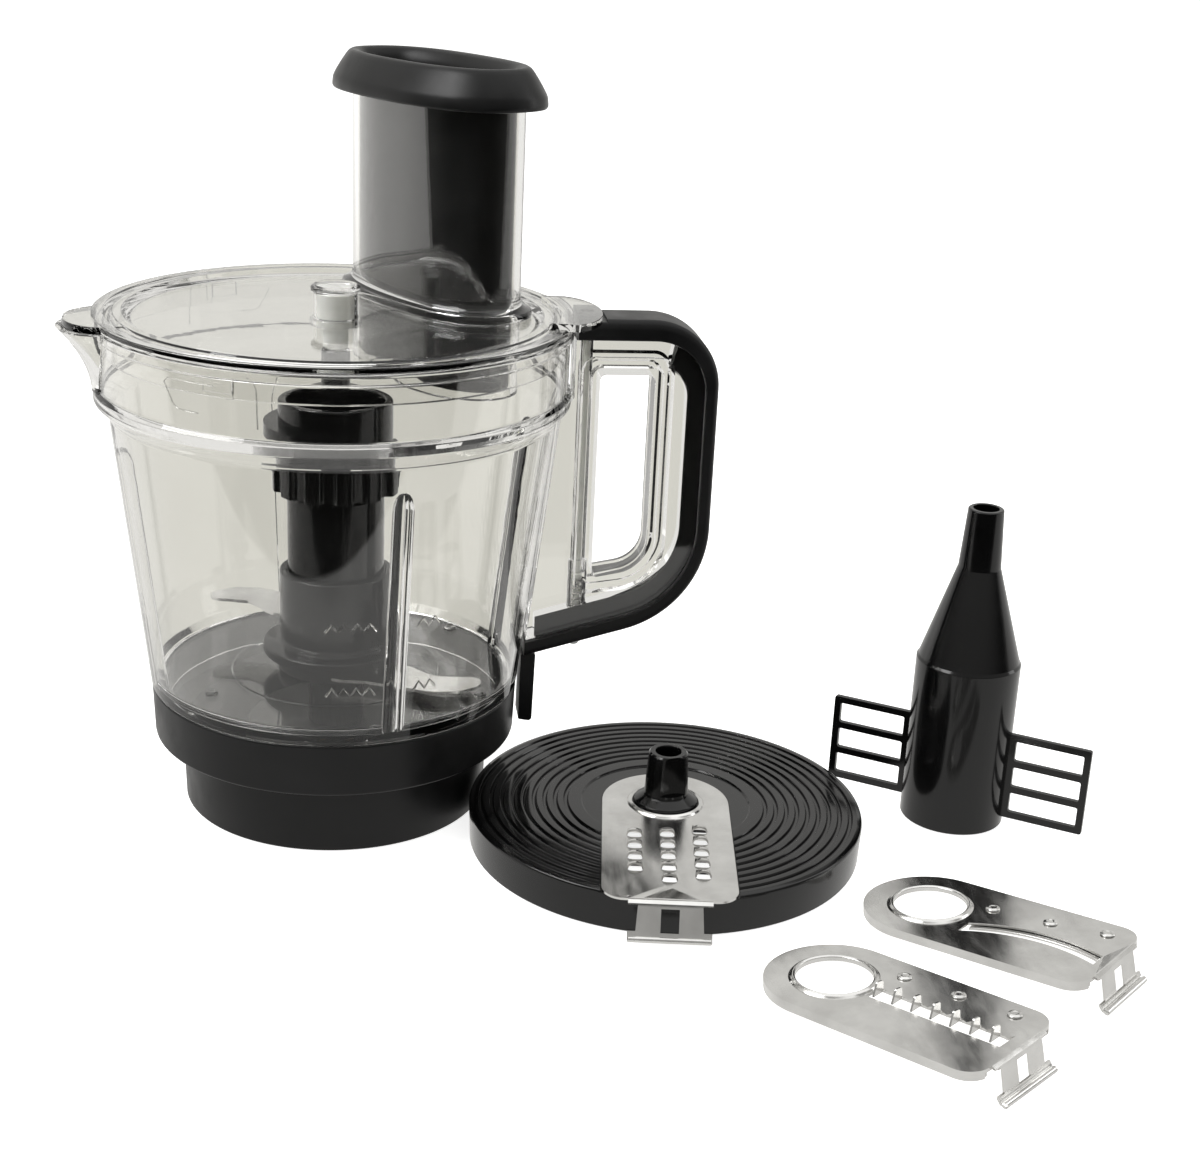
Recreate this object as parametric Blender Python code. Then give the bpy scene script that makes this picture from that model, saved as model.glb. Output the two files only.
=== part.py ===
"""Food processor bowl unit with its grooved disc, inserts and whisk tool.

The unit stands on its black drive housing, which holds a planetary reduction
gear. The accessories lie on the same surface, in front of the bowl and to its
right. Lengths below are in millimetres, and MM turns them into Blender's metres.
"""

import math

import bmesh
import bpy
from mathutils import Matrix

MM = 0.001
ROUND = 36
HUB_ROUND = 28
SMALL_ROUND = 20
TINY_ROUND = 10
OVAL_ROUND = 32
GAP = 0.3
WELD = 1e-7

# Places on the surface that everything stands on. The handle points along +X.
BOWL_AT = (-106.0, 81.5)
DISC_AT = (33.1, 23.5)
DISC_TURN = -7.6
WHISK_AT = (166.1, 41.5)
WHISK_TURN = -33.0
SLICER_AT = (129.0, -51.2)
SLICER_TURN = -47.0
JULIENNE_AT = (77.3, -102.4)
JULIENNE_TURN = -51.0

# Drive housing and bowl
FOOT_R = 66.2
FOOT_TOP = 31.3
RING_R = 78.5
RING_TOP = 53.7
SHELL = 2.4
BOWL_WALL = 2.7
BOWL_FLOOR = 57.0
BOWL_BASE_R = 78.8
COLLAR_LOW = 173.0
COLLAR_LOW_R = 92.3
COLLAR_R = 96.9
COLLAR_INNER_R = 95.0
FLANGE_R = 98.3
RIM_Z = 211.0
CHIMNEY_R = 12.0
CHIMNEY_BORE_R = 9.3
CHIMNEY_TOP = 82.0
SPOUT_TIP_R = 111.6
SPOUT_TURN = 12.0
SPOUT_STEPS = 5
LID_NOSE_R = 109.2
TAB_X = 92.0
TAB_Y = -5.0
TAB_REACH = 17.4
TAB_HALF_WIDTH = 28.5
TAB_SWEEP = 75.0
TAB_STEPS = 10
LUG_AZIMUTHS = (-117.6, 2.4, 122.4)
RIB_AZIMUTHS = (-163.0, -73.0, 17.0, 107.0)

# Handle, in the vertical plane through the bowl's axis
HANDLE_TOP = 214.3
HANDLE_OUTER = 160.0
HANDLE_LOW_X = 81.2
HANDLE_LOW_Z = 64.4
HANDLE_SLOPE = 0.279
HANDLE_TOP_RADIUS = 29.0
HANDLE_LOW_RADIUS = 48.0
STRAP_WIDTH = 22.0
STRAP_DEPTH = 6.5
WEB_WIDTH = 10.0
WEB_DEPTH = 15.0
FRAME_WIDTH = 18.6
FINGER_IN = 109.5
FINGER_OUT = 133.0
FINGER_LOW = 100.5
FINGER_TOP = 190.6
STEP_X = 111.3
STEP_Z = 213.3
COLUMN_X = 98.9

# Interlock rod in the handle's column
ROD_X = 104.0
ROD_R = 2.3
ROD_BORE_R = 2.8
ROD_TOP = 212.3
ROD_LOW = 66.5
SPRING_BORE_R = 4.2
SPRING_LOW = 84.0
SPRING_TOP = 98.0
SPRING_R = 3.3
SPRING_WIRE_R = 0.4
SPRING_TURNS = 5
SPRING_STEPS = 9

# Planetary gears: ring fixed, sun driven, carrier on the spindle
MODULE = 1.5
SUN_TEETH = 10
PLANET_TEETH = 14
RING_TEETH = 38
PLANETS = 3
PRESSURE_ANGLE = math.radians(25.0)
ADDENDUM = 0.8 * MODULE
DEDENDUM = 1.05 * MODULE
BACKLASH = 0.14
GEAR_LOW = 16.4
GEAR_HIGH = 23.6
CARRIER_LOW = 24.3
CARRIER_HIGH = 27.0
SPINDLE_R = 5.0
SPINDLE_BORE_R = 5.3
BUSH_BORE_R = 5.15
SCREWS = 4
SCREW_CIRCLE_R = 44.0

# Blade tool
HUB_LOW = 58.2
BLADE_THICK = 1.4
LOWER_BLADE_Z = 60.2
UPPER_BLADE_Z = 75.0
BLADE_NECK_R = 20.0
BLADE_COLLAR_R = 22.6
BLADE_ROOT_EASE = 12.0
BLADE_LEAD = (
    (24.0, -88.0),
    (30.5, -67.0),
    (37.0, -58.5),
    (44.3, -51.7),
    (51.0, -48.5),
    (57.0, -45.5),
    (64.6, -38.5),
    (68.4, -31.0),
)
BLADE_TRAIL = (
    (24.0, -20.0),
    (31.0, -20.0),
    (35.0, -22.0),
    (41.5, -27.5),
    (48.0, -29.5),
    (55.0, -26.5),
    (62.5, -23.5),
    (66.3, -24.0),
    (68.4, -27.5),
)
HUB_R = 23.9
HUB_FLANGE_R = 31.3
HUB_FLANGE_LOW = 65.9
HUB_FLANGE_HIGH = 70.7
GRIP_LOW = 138.4
UPPER_BLADE_TURN = 172.0
HUB_CORE_TOP = 158.0
CUP_R = 24.0
CUP_TOP = 177.5
POST_R = 6.0
POST_TOP = 196.0
FLUTES = 12

# Lid, feed tube and pusher
LID_R = 97.9
LID_TOP = 214.6
LID_RIM_LOW = 211.4
LID_PLATE_TOP = 211.8
LID_PLATE_LOW = 209.4
SKIRT_R = 92.6
SKIRT_LOW = 198.5
TUBE_AT = (42.0, 35.0)
TUBE_TURN = 121.5
TUBE_LONG = 50.0
TUBE_SHORT = 23.0
TUBE_WALL = 2.5
TUBE_TOP = 296.8
CHUTE_LOW = 179.0
FOOT_RING_LONG = 55.0
FOOT_RING_SHORT = 27.6
PUSHER_PLAY = 1.0
PUSHER_LOW = 182.0
FLANGE_LOW = 297.4
PUSHER_TOP = 313.0
OVAL_POWER = 2.4

# Disc and inserts
DISC_R = 83.6
DISC_HIGH = 16.9
SEAT_Z = 15.5
INSERT_HALF = 26.9
INSERT_LENGTH = 79.0
INSERT_THICK = 0.9
INSERT_HOLE_R = 14.0
INSERT_CORNER_R = 9.0
INSERT_RIM = 3.6
TAB_HALF = 16.5
STEM_TOP = 40.5
LOOSE_INSERT_Z = 6.6
LOOSE_INSERT_TILT = 5.8

# Whisk tool
WHISK_R = 22.5
WHISK_SHOULDER = 75.0
WHISK_NECK_Z = 117.0
WHISK_TOP = 143.0
PADDLE_OUT = 58.0
PADDLE_LOW = 4.4
PADDLE_TOP = 44.0
PADDLE_BAR = 3.0

# Colour, roughness, metallic and alpha of each finish
FINISHES = {
    "clear": ((0.86, 0.87, 0.85), 0.08, 0.0, 0.35),
    "black_gloss": ((0.015, 0.015, 0.016), 0.2, 0.0, 1.0),
    "black_satin": ((0.02, 0.02, 0.021), 0.4, 0.0, 1.0),
    "natural": ((0.78, 0.79, 0.77), 0.45, 0.0, 1.0),
    "rubber": ((0.05, 0.05, 0.05), 0.8, 0.0, 1.0),
    "steel": ((0.62, 0.62, 0.61), 0.25, 1.0, 1.0),
    "brass": ((0.75, 0.58, 0.28), 0.35, 1.0, 1.0),
}


def clear_scene():
    for obj in list(bpy.data.objects):
        bpy.data.objects.remove(obj, do_unlink=True)


def material(name, finish):
    colour, roughness, metallic, alpha = FINISHES[finish]
    made = bpy.data.materials.new(name)
    made.use_nodes = True
    shader = made.node_tree.nodes["Principled BSDF"]
    shader.inputs["Base Color"].default_value = (*colour, 1.0)
    shader.inputs["Roughness"].default_value = roughness
    shader.inputs["Metallic"].default_value = metallic
    shader.inputs["Alpha"].default_value = alpha
    return made


def place(name, at=(0.0, 0.0), z=0.0, turn=0.0, tilt=0.0, parent=None):
    """An empty that carries sub-parts, with its origin on their joint's axis."""
    spot = bpy.data.objects.new(name, None)
    bpy.context.scene.collection.objects.link(spot)
    spot.location = (at[0] * MM, at[1] * MM, z * MM)
    spot.rotation_euler = (0.0, math.radians(-tilt), math.radians(turn))
    spot.parent = parent
    return spot


def node(name, bm, finish, parent):
    """Turn a bmesh into a named sub-part with its own material."""
    bmesh.ops.remove_doubles(bm, verts=bm.verts, dist=WELD)
    bmesh.ops.recalc_face_normals(bm, faces=bm.faces)
    mesh = bpy.data.meshes.new(name)
    bm.to_mesh(mesh)
    bm.free()
    mesh.shade_smooth()
    mesh.set_sharp_from_angle(angle=math.radians(35.0))
    obj = bpy.data.objects.new(name, mesh)
    bpy.context.scene.collection.objects.link(obj)
    obj.parent = parent
    if finish:
        mesh.materials.append(material(name + "_finish", finish))
    return obj


def combine(obj, operation, bm, label):
    """Add or cut a hidden helper shape with an exact Boolean."""
    helper = node(f"{obj.name}_{label}", bm, None, obj.parent)
    helper.hide_render = True
    helper.display_type = "WIRE"
    modifier = obj.modifiers.new(label, "BOOLEAN")
    modifier.operation = operation
    modifier.solver = "EXACT"
    modifier.object = helper


def skin(bm, low, high):
    """Faces between two closed rings, either of which may be one point."""
    count = max(len(low), len(high))
    if len(low) == 1 and len(high) == 1:
        return
    for i in range(count):
        j = (i + 1) % count
        if len(low) == 1:
            bm.faces.new((low[0], high[j], high[i]))
        elif len(high) == 1:
            bm.faces.new((low[i], low[j], high[0]))
        else:
            bm.faces.new((low[i], low[j], high[j], high[i]))


def lathe(profile, segments=ROUND):
    """A closed (radius, height) profile turned round Z."""
    bm = bmesh.new()
    rings = []
    for r, z in profile:
        count = segments if r > 0.0 else 1
        turns = [math.tau * i / segments for i in range(count)]
        rings.append(
            [bm.verts.new((r * MM * math.cos(a), r * MM * math.sin(a), z * MM)) for a in turns]
        )
    for low, high in zip(rings, rings[1:] + rings[:1]):
        skin(bm, low, high)
    return bm


def prism(outline, low, high, holes=()):
    """A flat outline with holes, extruded from low to high along Z."""
    bm = bmesh.new()
    for loop in (outline, *holes):
        verts = [bm.verts.new((x * MM, y * MM, low * MM)) for x, y in loop]
        for a, b in zip(verts, verts[1:] + verts[:1]):
            bm.edges.new((a, b))
    bmesh.ops.triangle_fill(bm, use_beauty=True, edges=bm.edges[:])
    made = bmesh.ops.extrude_face_region(bm, geom=bm.faces[:])["geom"]
    top = [v for v in made if isinstance(v, bmesh.types.BMVert)]
    bmesh.ops.translate(bm, vec=(0.0, 0.0, (high - low) * MM), verts=top)
    return bm


def upright(outline, width, holes=()):
    """A prism that stands in the XZ plane, centred on Y."""
    bm = prism(outline, -width / 2.0, width / 2.0, holes)
    bmesh.ops.rotate(bm, matrix=Matrix.Rotation(math.radians(90.0), 3, "X"), verts=bm.verts)
    return bm


def loft(sections):
    """A closed body through sections that each hold the same number of (x, y, z) points."""
    bm = bmesh.new()
    rings = [[bm.verts.new((x * MM, y * MM, z * MM)) for x, y, z in points] for points in sections]
    for low, high in zip(rings, rings[1:]):
        skin(bm, low, high)
    bm.faces.new(rings[0])
    bm.faces.new(rings[-1])
    return bm


def moved(bm, x=0.0, y=0.0, z=0.0, turn=0.0):
    """The shape turned about Z and then shifted."""
    bmesh.ops.rotate(bm, matrix=Matrix.Rotation(math.radians(turn), 3, "Z"), verts=bm.verts)
    bmesh.ops.translate(bm, vec=(x * MM, y * MM, z * MM), verts=bm.verts)
    return bm


def circle(r, count=24, at=(0.0, 0.0)):
    return [
        (at[0] + r * math.cos(math.tau * i / count), at[1] + r * math.sin(math.tau * i / count))
        for i in range(count)
    ]


def rod(r, low, high, at=(0.0, 0.0), count=24):
    return prism(circle(r, count, at), low, high)


def arc(centre, r, start, end, steps):
    """Points on an arc, angles in degrees, both ends included."""
    turns = [math.radians(start + (end - start) * i / steps) for i in range(steps + 1)]
    return [(centre[0] + r * math.cos(a), centre[1] + r * math.sin(a)) for a in turns]


def oval(long, short, count=OVAL_ROUND, power=OVAL_POWER):
    """A superellipse, fuller than an ellipse, as the feed tube is."""
    points = []
    for i in range(count):
        c = math.cos(math.tau * i / count)
        s = math.sin(math.tau * i / count)
        x = long * math.copysign(abs(c) ** (2.0 / power), c)
        y = short * math.copysign(abs(s) ** (2.0 / power), s)
        points.append((x, y))
    return points


def level(points, z):
    return [(x, y, z) for x, y in points]


def tube_shape(bm):
    """Move an oval shape from its own axes to the feed tube's place on the lid."""
    return moved(bm, *TUBE_AT, turn=TUBE_TURN)


# ---------------------------------------------------------------- drive housing


def drive_housing(parent):
    profile = [
        (FOOT_R - 0.7, 0.0),
        (FOOT_R, FOOT_TOP - 0.4),
        (RING_R - 0.6, FOOT_TOP),
        (RING_R + 0.1, RING_TOP),
        (RING_R - SHELL, RING_TOP),
        (RING_R - SHELL - 0.6, FOOT_TOP + SHELL),
        (FOOT_R - SHELL, FOOT_TOP + SHELL),
        (FOOT_R - SHELL - 0.6, 0.0),
    ]
    node("drive_housing", lathe(profile), "black_satin", parent)


def screw_spots():
    return circle(SCREW_CIRCLE_R, SCREWS)


def base_plate(parent):
    holes = [circle(22.0)]
    holes += [circle(1.9, 12, at) for at in screw_spots()]
    outline = circle(FOOT_R - SHELL - 1.2, ROUND)
    node("base_plate", prism(outline, 2.2, 4.5, holes), "black_satin", parent)


def base_screws(parent):
    profile = [(0.0, 0.5), (3.2, 0.5), (3.2, 1.9), (1.6, 1.9), (1.6, 11.0), (0.0, 11.6)]
    for number, (x, y) in enumerate(screw_spots(), 1):
        screw = node(f"base_screw_{number}", lathe(profile, TINY_ROUND), "steel", parent)
        screw.location = (x * MM, y * MM, 0.0)


def gearbox_housing(parent):
    profile = [
        (49.0, 4.9),
        (49.0, 12.5),
        (38.0, 12.5),
        (38.0, 31.0),
        (CHIMNEY_R, 31.0),
        (CHIMNEY_R, 52.0),
        (9.2, 52.0),
        (9.2, 28.0),
        (34.7, 28.0),
        (34.7, 4.9),
    ]
    housing = node("gearbox_housing", lathe(profile), "black_satin", parent)
    for number, at in enumerate(screw_spots(), 1):
        combine(housing, "DIFFERENCE", rod(1.9, 4.0, 12.1, at, 12), f"screw_hole_{number}")


def spindle_bush(parent):
    profile = [(8.9, 29.0), (8.9, 51.0), (BUSH_BORE_R, 51.0), (BUSH_BORE_R, 29.0)]
    node("spindle_bush", lathe(profile, SMALL_ROUND), "brass", parent)


def shaft_seal(parent):
    profile = [(9.0, 76.0), (9.0, 80.5), (BUSH_BORE_R + 0.1, 80.5), (BUSH_BORE_R + 0.1, 79.0)]
    profile += [(6.4, 78.0), (6.4, 76.0)]
    node("shaft_seal", lathe(profile, SMALL_ROUND), "rubber", parent)


# ---------------------------------------------------------------- gears


def involute(angle):
    return math.tan(angle) - angle


def gear_outline(teeth, inner_r, outer_r, backlash):
    """Involute teeth between two radii, with a tooth centred on +X."""
    pitch_r = MODULE * teeth / 2.0
    base_r = pitch_r * math.cos(PRESSURE_ANGLE)
    half_pitch = math.pi / (2.0 * teeth) - backlash / (2.0 * pitch_r)

    def half_width(r):
        pressure = math.acos(min(1.0, base_r / r))
        return half_pitch + involute(PRESSURE_ANGLE) - involute(pressure)

    start_r = max(inner_r, base_r)
    flank = [start_r + (outer_r - start_r) * i / 2.0 for i in range(3)]
    points = []
    for tooth in range(teeth):
        centre = math.tau * tooth / teeth
        side = [(r, centre - half_width(r)) for r in flank]
        other = [(r, centre + half_width(r)) for r in reversed(flank)]
        if inner_r < base_r:
            side.insert(0, (inner_r, centre - half_width(base_r)))
            other.append((inner_r, centre + half_width(base_r)))
        points += [(r * math.cos(a), r * math.sin(a)) for r, a in side + other]
    return points


def external_gear(teeth, bore_r):
    pitch_r = MODULE * teeth / 2.0
    outline = gear_outline(teeth, pitch_r - DEDENDUM, pitch_r + ADDENDUM, BACKLASH)
    return prism(outline, GEAR_LOW, GEAR_HIGH, [circle(bore_r, 16)])


def ring_gear(parent):
    """The ring's tooth spaces are an outer gear's teeth, half a pitch round."""
    pitch_r = MODULE * RING_TEETH / 2.0
    spaces = gear_outline(RING_TEETH, pitch_r - ADDENDUM, pitch_r + DEDENDUM, -BACKLASH)
    ring = prism(circle(34.4, ROUND), GEAR_LOW - 0.4, GEAR_HIGH + 0.4, [spaces])
    node("ring_gear", moved(ring, turn=180.0 / RING_TEETH), "natural", parent)


def input_drive(parent):
    node("sun_gear", external_gear(SUN_TEETH, 3.3), "steel", parent)
    node("input_shaft", rod(3.0, 5.2, 23.4), "steel", parent)
    star = []
    for lobe in range(6):
        star += arc((0.0, 0.0), 13.0, 60.0 * lobe - 12.0, 60.0 * lobe + 12.0, 2)
        star += arc((0.0, 0.0), 9.5, 60.0 * lobe + 20.0, 60.0 * lobe + 40.0, 2)
    node("drive_coupling", prism(star, 5.2, 14.0, [circle(3.3, 16)]), "black_satin", parent)


def planet_spot(number):
    reach = MODULE * (SUN_TEETH + PLANET_TEETH) / 2.0
    angle = math.tau * number / PLANETS
    return reach * math.cos(angle), reach * math.sin(angle)


def planet_gears(parent):
    """Each planet is turned as it would be had it rolled round from +X."""
    for number in range(PLANETS):
        roll = 1.0 - RING_TEETH / PLANET_TEETH
        turn = 180.0 / PLANET_TEETH + 360.0 / PLANETS * number * roll
        spot = place(f"planet_axis_{number + 1}", planet_spot(number), turn=turn, parent=parent)
        node(f"planet_gear_{number + 1}", external_gear(PLANET_TEETH, 2.2), "natural", spot)


def planet_carrier(parent):
    profile = [(3.0, CARRIER_LOW), (25.0, CARRIER_LOW), (25.0, CARRIER_HIGH), (3.0, CARRIER_HIGH)]
    carrier = node("planet_carrier", lathe(profile), "steel", parent)
    for number in range(PLANETS):
        pin = rod(1.9, GEAR_LOW - 0.4, CARRIER_LOW + 1.0, planet_spot(number), 12)
        combine(carrier, "UNION", pin, f"pin_{number + 1}")


# ---------------------------------------------------------------- blade tool


def spindle_shaft(parent):
    profile = [(0.0, CARRIER_HIGH + GAP), (SPINDLE_R, CARRIER_HIGH + GAP)]
    profile += [(SPINDLE_R, 95.0), (SPINDLE_R - 1.0, 96.0), (0.0, 96.0)]
    node("spindle_shaft", lathe(profile, SMALL_ROUND), "steel", parent)


def blade_hub(parent):
    low_seat = LOWER_BLADE_Z + BLADE_THICK + GAP
    high_seat = UPPER_BLADE_Z + BLADE_THICK + GAP
    profile = [
        (13.5, HUB_LOW),
        (BLADE_NECK_R, HUB_LOW),
        (BLADE_NECK_R, low_seat),
        (26.0, low_seat),
        (26.0, HUB_FLANGE_LOW),
        (HUB_FLANGE_R, HUB_FLANGE_LOW + 0.4),
        (HUB_FLANGE_R, HUB_FLANGE_HIGH - 0.6),
        (HUB_FLANGE_R - 0.8, HUB_FLANGE_HIGH),
        (HUB_R, HUB_FLANGE_HIGH),
        (HUB_R, UPPER_BLADE_Z - GAP),
        (BLADE_NECK_R, UPPER_BLADE_Z - GAP),
        (BLADE_NECK_R, high_seat),
        (HUB_R, high_seat),
        (HUB_R, 101.8),
        (HUB_R - 0.8, 102.6),
        (20.4, 102.6),
        (20.4, 136.6),
        (17.6, 137.8),
        (17.6, HUB_CORE_TOP),
        (0.0, HUB_CORE_TOP),
        (0.0, 97.0),
        (SPINDLE_BORE_R, 97.0),
        (SPINDLE_BORE_R, 84.0),
        (13.5, 84.0),
    ]
    node("blade_hub", lathe(profile, HUB_ROUND), "black_gloss", parent)


def flute_outline():
    points = []
    for flute in range(FLUTES):
        start = 360.0 / FLUTES * flute
        points += arc((0.0, 0.0), 26.6, start, start + 16.0, 2)
        points += arc((0.0, 0.0), 24.2, start + 20.0, start + 26.0, 1)
    return points


def hub_grip(parent):
    grip = prism(flute_outline(), GRIP_LOW, HUB_CORE_TOP, [circle(17.9, HUB_ROUND)])
    node("hub_grip", grip, "black_gloss", parent)


def hub_cup(parent):
    profile = [
        (0.0, HUB_CORE_TOP + GAP),
        (CUP_R, HUB_CORE_TOP + GAP),
        (CUP_R, CUP_TOP),
        (CUP_R - 3.5, CUP_TOP),
        (CUP_R - 3.5, HUB_CORE_TOP + 3.0),
        (0.0, HUB_CORE_TOP + 3.0),
    ]
    cup = node("hub_cup", lathe(profile, HUB_ROUND), "black_gloss", parent)
    ledge = arc((0.0, 0.0), 30.0, 95.0, 265.0, 14) + arc((0.0, 0.0), 22.5, 265.0, 95.0, 14)
    combine(cup, "UNION", prism(ledge, 162.0, 167.5), "ledge")


def centre_post(parent):
    low = HUB_CORE_TOP + 3.0 + GAP
    profile = [(0.0, low), (POST_R, low), (POST_R, POST_TOP), (3.0, POST_TOP)]
    profile += [(3.0, POST_TOP + 6.5), (0.0, POST_TOP + 7.0)]
    node("centre_post", lathe(profile, SMALL_ROUND), "black_gloss", parent)


def blade_outline():
    """A collar in the hub and one crescent wing with a blunt tip, given by radius and azimuth."""
    wing = []
    for r, azimuth in BLADE_LEAD + BLADE_TRAIL[::-1]:
        turn = math.radians(azimuth)
        wing.append((r * math.cos(turn), r * math.sin(turn)))
    collar_start = BLADE_TRAIL[0][1] + BLADE_ROOT_EASE
    collar_end = BLADE_LEAD[0][1] + 360.0 - BLADE_ROOT_EASE
    return wing + arc((0.0, 0.0), BLADE_COLLAR_R, collar_start, collar_end, 24)


def blades(parent):
    hole = [circle(BLADE_NECK_R + GAP, HUB_ROUND)]
    for name, low, turn in (
        ("lower_blade", LOWER_BLADE_Z, 0.0),
        ("upper_blade", UPPER_BLADE_Z, UPPER_BLADE_TURN),
    ):
        blade = moved(prism(blade_outline(), low, low + BLADE_THICK, hole), turn=turn)
        node(name, blade, "steel", parent)


# ---------------------------------------------------------------- bowl


def wall_r(z):
    """Outer radius of the bowl's tapered wall."""
    share = (z - RING_TOP) / (COLLAR_LOW - RING_TOP)
    return BOWL_BASE_R + (COLLAR_LOW_R - BOWL_BASE_R) * share


def spout_section(tip_r, root_r, half_angle, z, inner_r):
    """A rounded lobe in plan round 180 degrees, closed on the inside by an arc."""
    half = math.radians(half_angle)
    root_x = -root_r * math.cos(half)
    root_y = root_r * math.sin(half)
    side = []
    for i in range(SPOUT_STEPS + 1):
        t = i / SPOUT_STEPS
        x = root_x * (1.0 - t) ** 2 - (tip_r - 0.3) * 2.0 * t * (1.0 - t) - tip_r * t * t
        y = root_y * (1.0 - t) ** 2 + 0.78 * root_y * 2.0 * t * (1.0 - t)
        side.append((x, y))
    mirrored = [(x, -y) for x, y in reversed(side[:-1])]
    inner = arc((0.0, 0.0), inner_r, 180.0 + half_angle, 180.0 - half_angle, 4)
    return level(side + mirrored + inner, z)


def spout(low, high):
    """A body between two spout sections that bows outward towards the top, turned to the spout's azimuth."""
    sections = []
    for share in (0.0, 0.35, 0.65, 0.85, 1.0):
        bow = share ** 1.85
        sections.append([
            (a[0] + (b[0] - a[0]) * bow, a[1] + (b[1] - a[1]) * bow, a[2] + (b[2] - a[2]) * share)
            for a, b in zip(low, high)
        ])
    return moved(loft(sections), turn=SPOUT_TURN)


def bowl_shell(parent):
    foot_r = RING_R - SHELL - GAP - 0.4
    outer = [
        (CHIMNEY_R + 1.0, 54.4),
        (foot_r - 2.5, 54.4),
        (foot_r - 2.5, 40.0),
        (foot_r, 40.0),
        (foot_r, RING_TOP + GAP),
        (BOWL_BASE_R, RING_TOP + GAP),
        (COLLAR_LOW_R, COLLAR_LOW),
        (94.6, 176.0),
        (98.0, 180.0),
        (98.0, 183.6),
        (COLLAR_R - 0.3, 185.6),
        (COLLAR_R, 206.6),
        (FLANGE_R, 207.8),
        (FLANGE_R, RIM_Z),
        (COLLAR_INNER_R, RIM_Z),
        (COLLAR_INNER_R - 0.4, 184.0),
        (COLLAR_LOW_R - BOWL_WALL, COLLAR_LOW + 2.0),
        (wall_r(BOWL_FLOOR + 4.0) - BOWL_WALL, BOWL_FLOOR + 4.0),
        (wall_r(BOWL_FLOOR) - BOWL_WALL - 3.0, BOWL_FLOOR),
        (CHIMNEY_R, BOWL_FLOOR),
        (CHIMNEY_R, CHIMNEY_TOP),
        (CHIMNEY_BORE_R, CHIMNEY_TOP),
        (CHIMNEY_BORE_R, 54.4),
    ]
    bowl = node("bowl_shell", lathe(outer), "clear", parent)
    spout_low = spout_section(98.6, 97.0, 5.0, 184.5, 95.6)
    spout_high = spout_section(SPOUT_TIP_R, 97.5, 12.0, RIM_Z, 96.0)
    combine(bowl, "UNION", spout(spout_low, spout_high), "spout")
    void_low = spout_section(95.4, 94.0, 4.0, 186.5, 85.0)
    void_high = spout_section(SPOUT_TIP_R - 2.4, 95.0, 10.0, RIM_Z + 0.6, 85.0)
    combine(bowl, "DIFFERENCE", spout(void_low, void_high), "spout_hollow")
    for number, azimuth in enumerate(RIB_AZIMUTHS, 1):
        combine(bowl, "UNION", wall_rib(azimuth), f"rib_{number}")


def wall_rib(azimuth):
    """A half-round bar that leans with the inner face of the wall."""
    sections = []
    for z, scale in ((BOWL_FLOOR - 1.0, 1.0), (156.0, 1.0), (160.0, 0.5)):
        centre = wall_r(z) - BOWL_WALL + 1.2
        points = arc((centre, 0.0), 1.0, 90.0, 270.0, 6)
        shape = [(centre + (x - centre) * 4.2 * scale, y * 5.5 * scale) for x, y in points]
        sections.append(level(shape, z))
    return moved(loft(sections), turn=azimuth)


# ---------------------------------------------------------------- handle


def handle_path(inset, start_x, end_x):
    """The handle's outer line, set in by a distance: low end, outer side, top end."""
    length = math.hypot(1.0, HANDLE_SLOPE)
    lift = inset * length
    outer_x = HANDLE_OUTER - inset
    top_z = HANDLE_TOP - inset

    def low_z(x):
        return HANDLE_LOW_Z + (x - HANDLE_LOW_X) * HANDLE_SLOPE + lift

    low_r = HANDLE_LOW_RADIUS - inset
    lean = math.degrees(math.atan(HANDLE_SLOPE))
    centre = (outer_x - low_r, low_z(outer_x - low_r) + low_r * length)
    top_r = HANDLE_TOP_RADIUS - inset
    path = [(start_x, low_z(start_x))]
    path += arc(centre, low_r, lean - 90.0, 0.0, 8)
    path += arc((outer_x - top_r, top_z - top_r), top_r, 0.0, 90.0, 7)
    return path + [(end_x, top_z)]


def handle_strap(parent):
    """A black cap on the outside, with a web that sits in the frame's groove."""
    outer = handle_path(0.0, HANDLE_LOW_X, STEP_X)
    outer += [(STEP_X, STEP_Z), (COLUMN_X + 0.4, STEP_Z)]
    inner = handle_path(STRAP_DEPTH, HANDLE_LOW_X, COLUMN_X + 0.4)
    strap = node("handle_strap", upright(outer + inner[::-1], STRAP_WIDTH), "black_satin", parent)
    low_x = ROD_X + 8.0
    web = handle_path(STRAP_DEPTH - 1.0, low_x, low_x)
    web += handle_path(WEB_DEPTH, low_x, low_x)[::-1]
    combine(strap, "UNION", upright(web, WEB_WIDTH), "web")
    combine(strap, "DIFFERENCE", rod(ROD_BORE_R, 50.0, 220.0, (ROD_X, 0.0)), "rod_hole")


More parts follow.
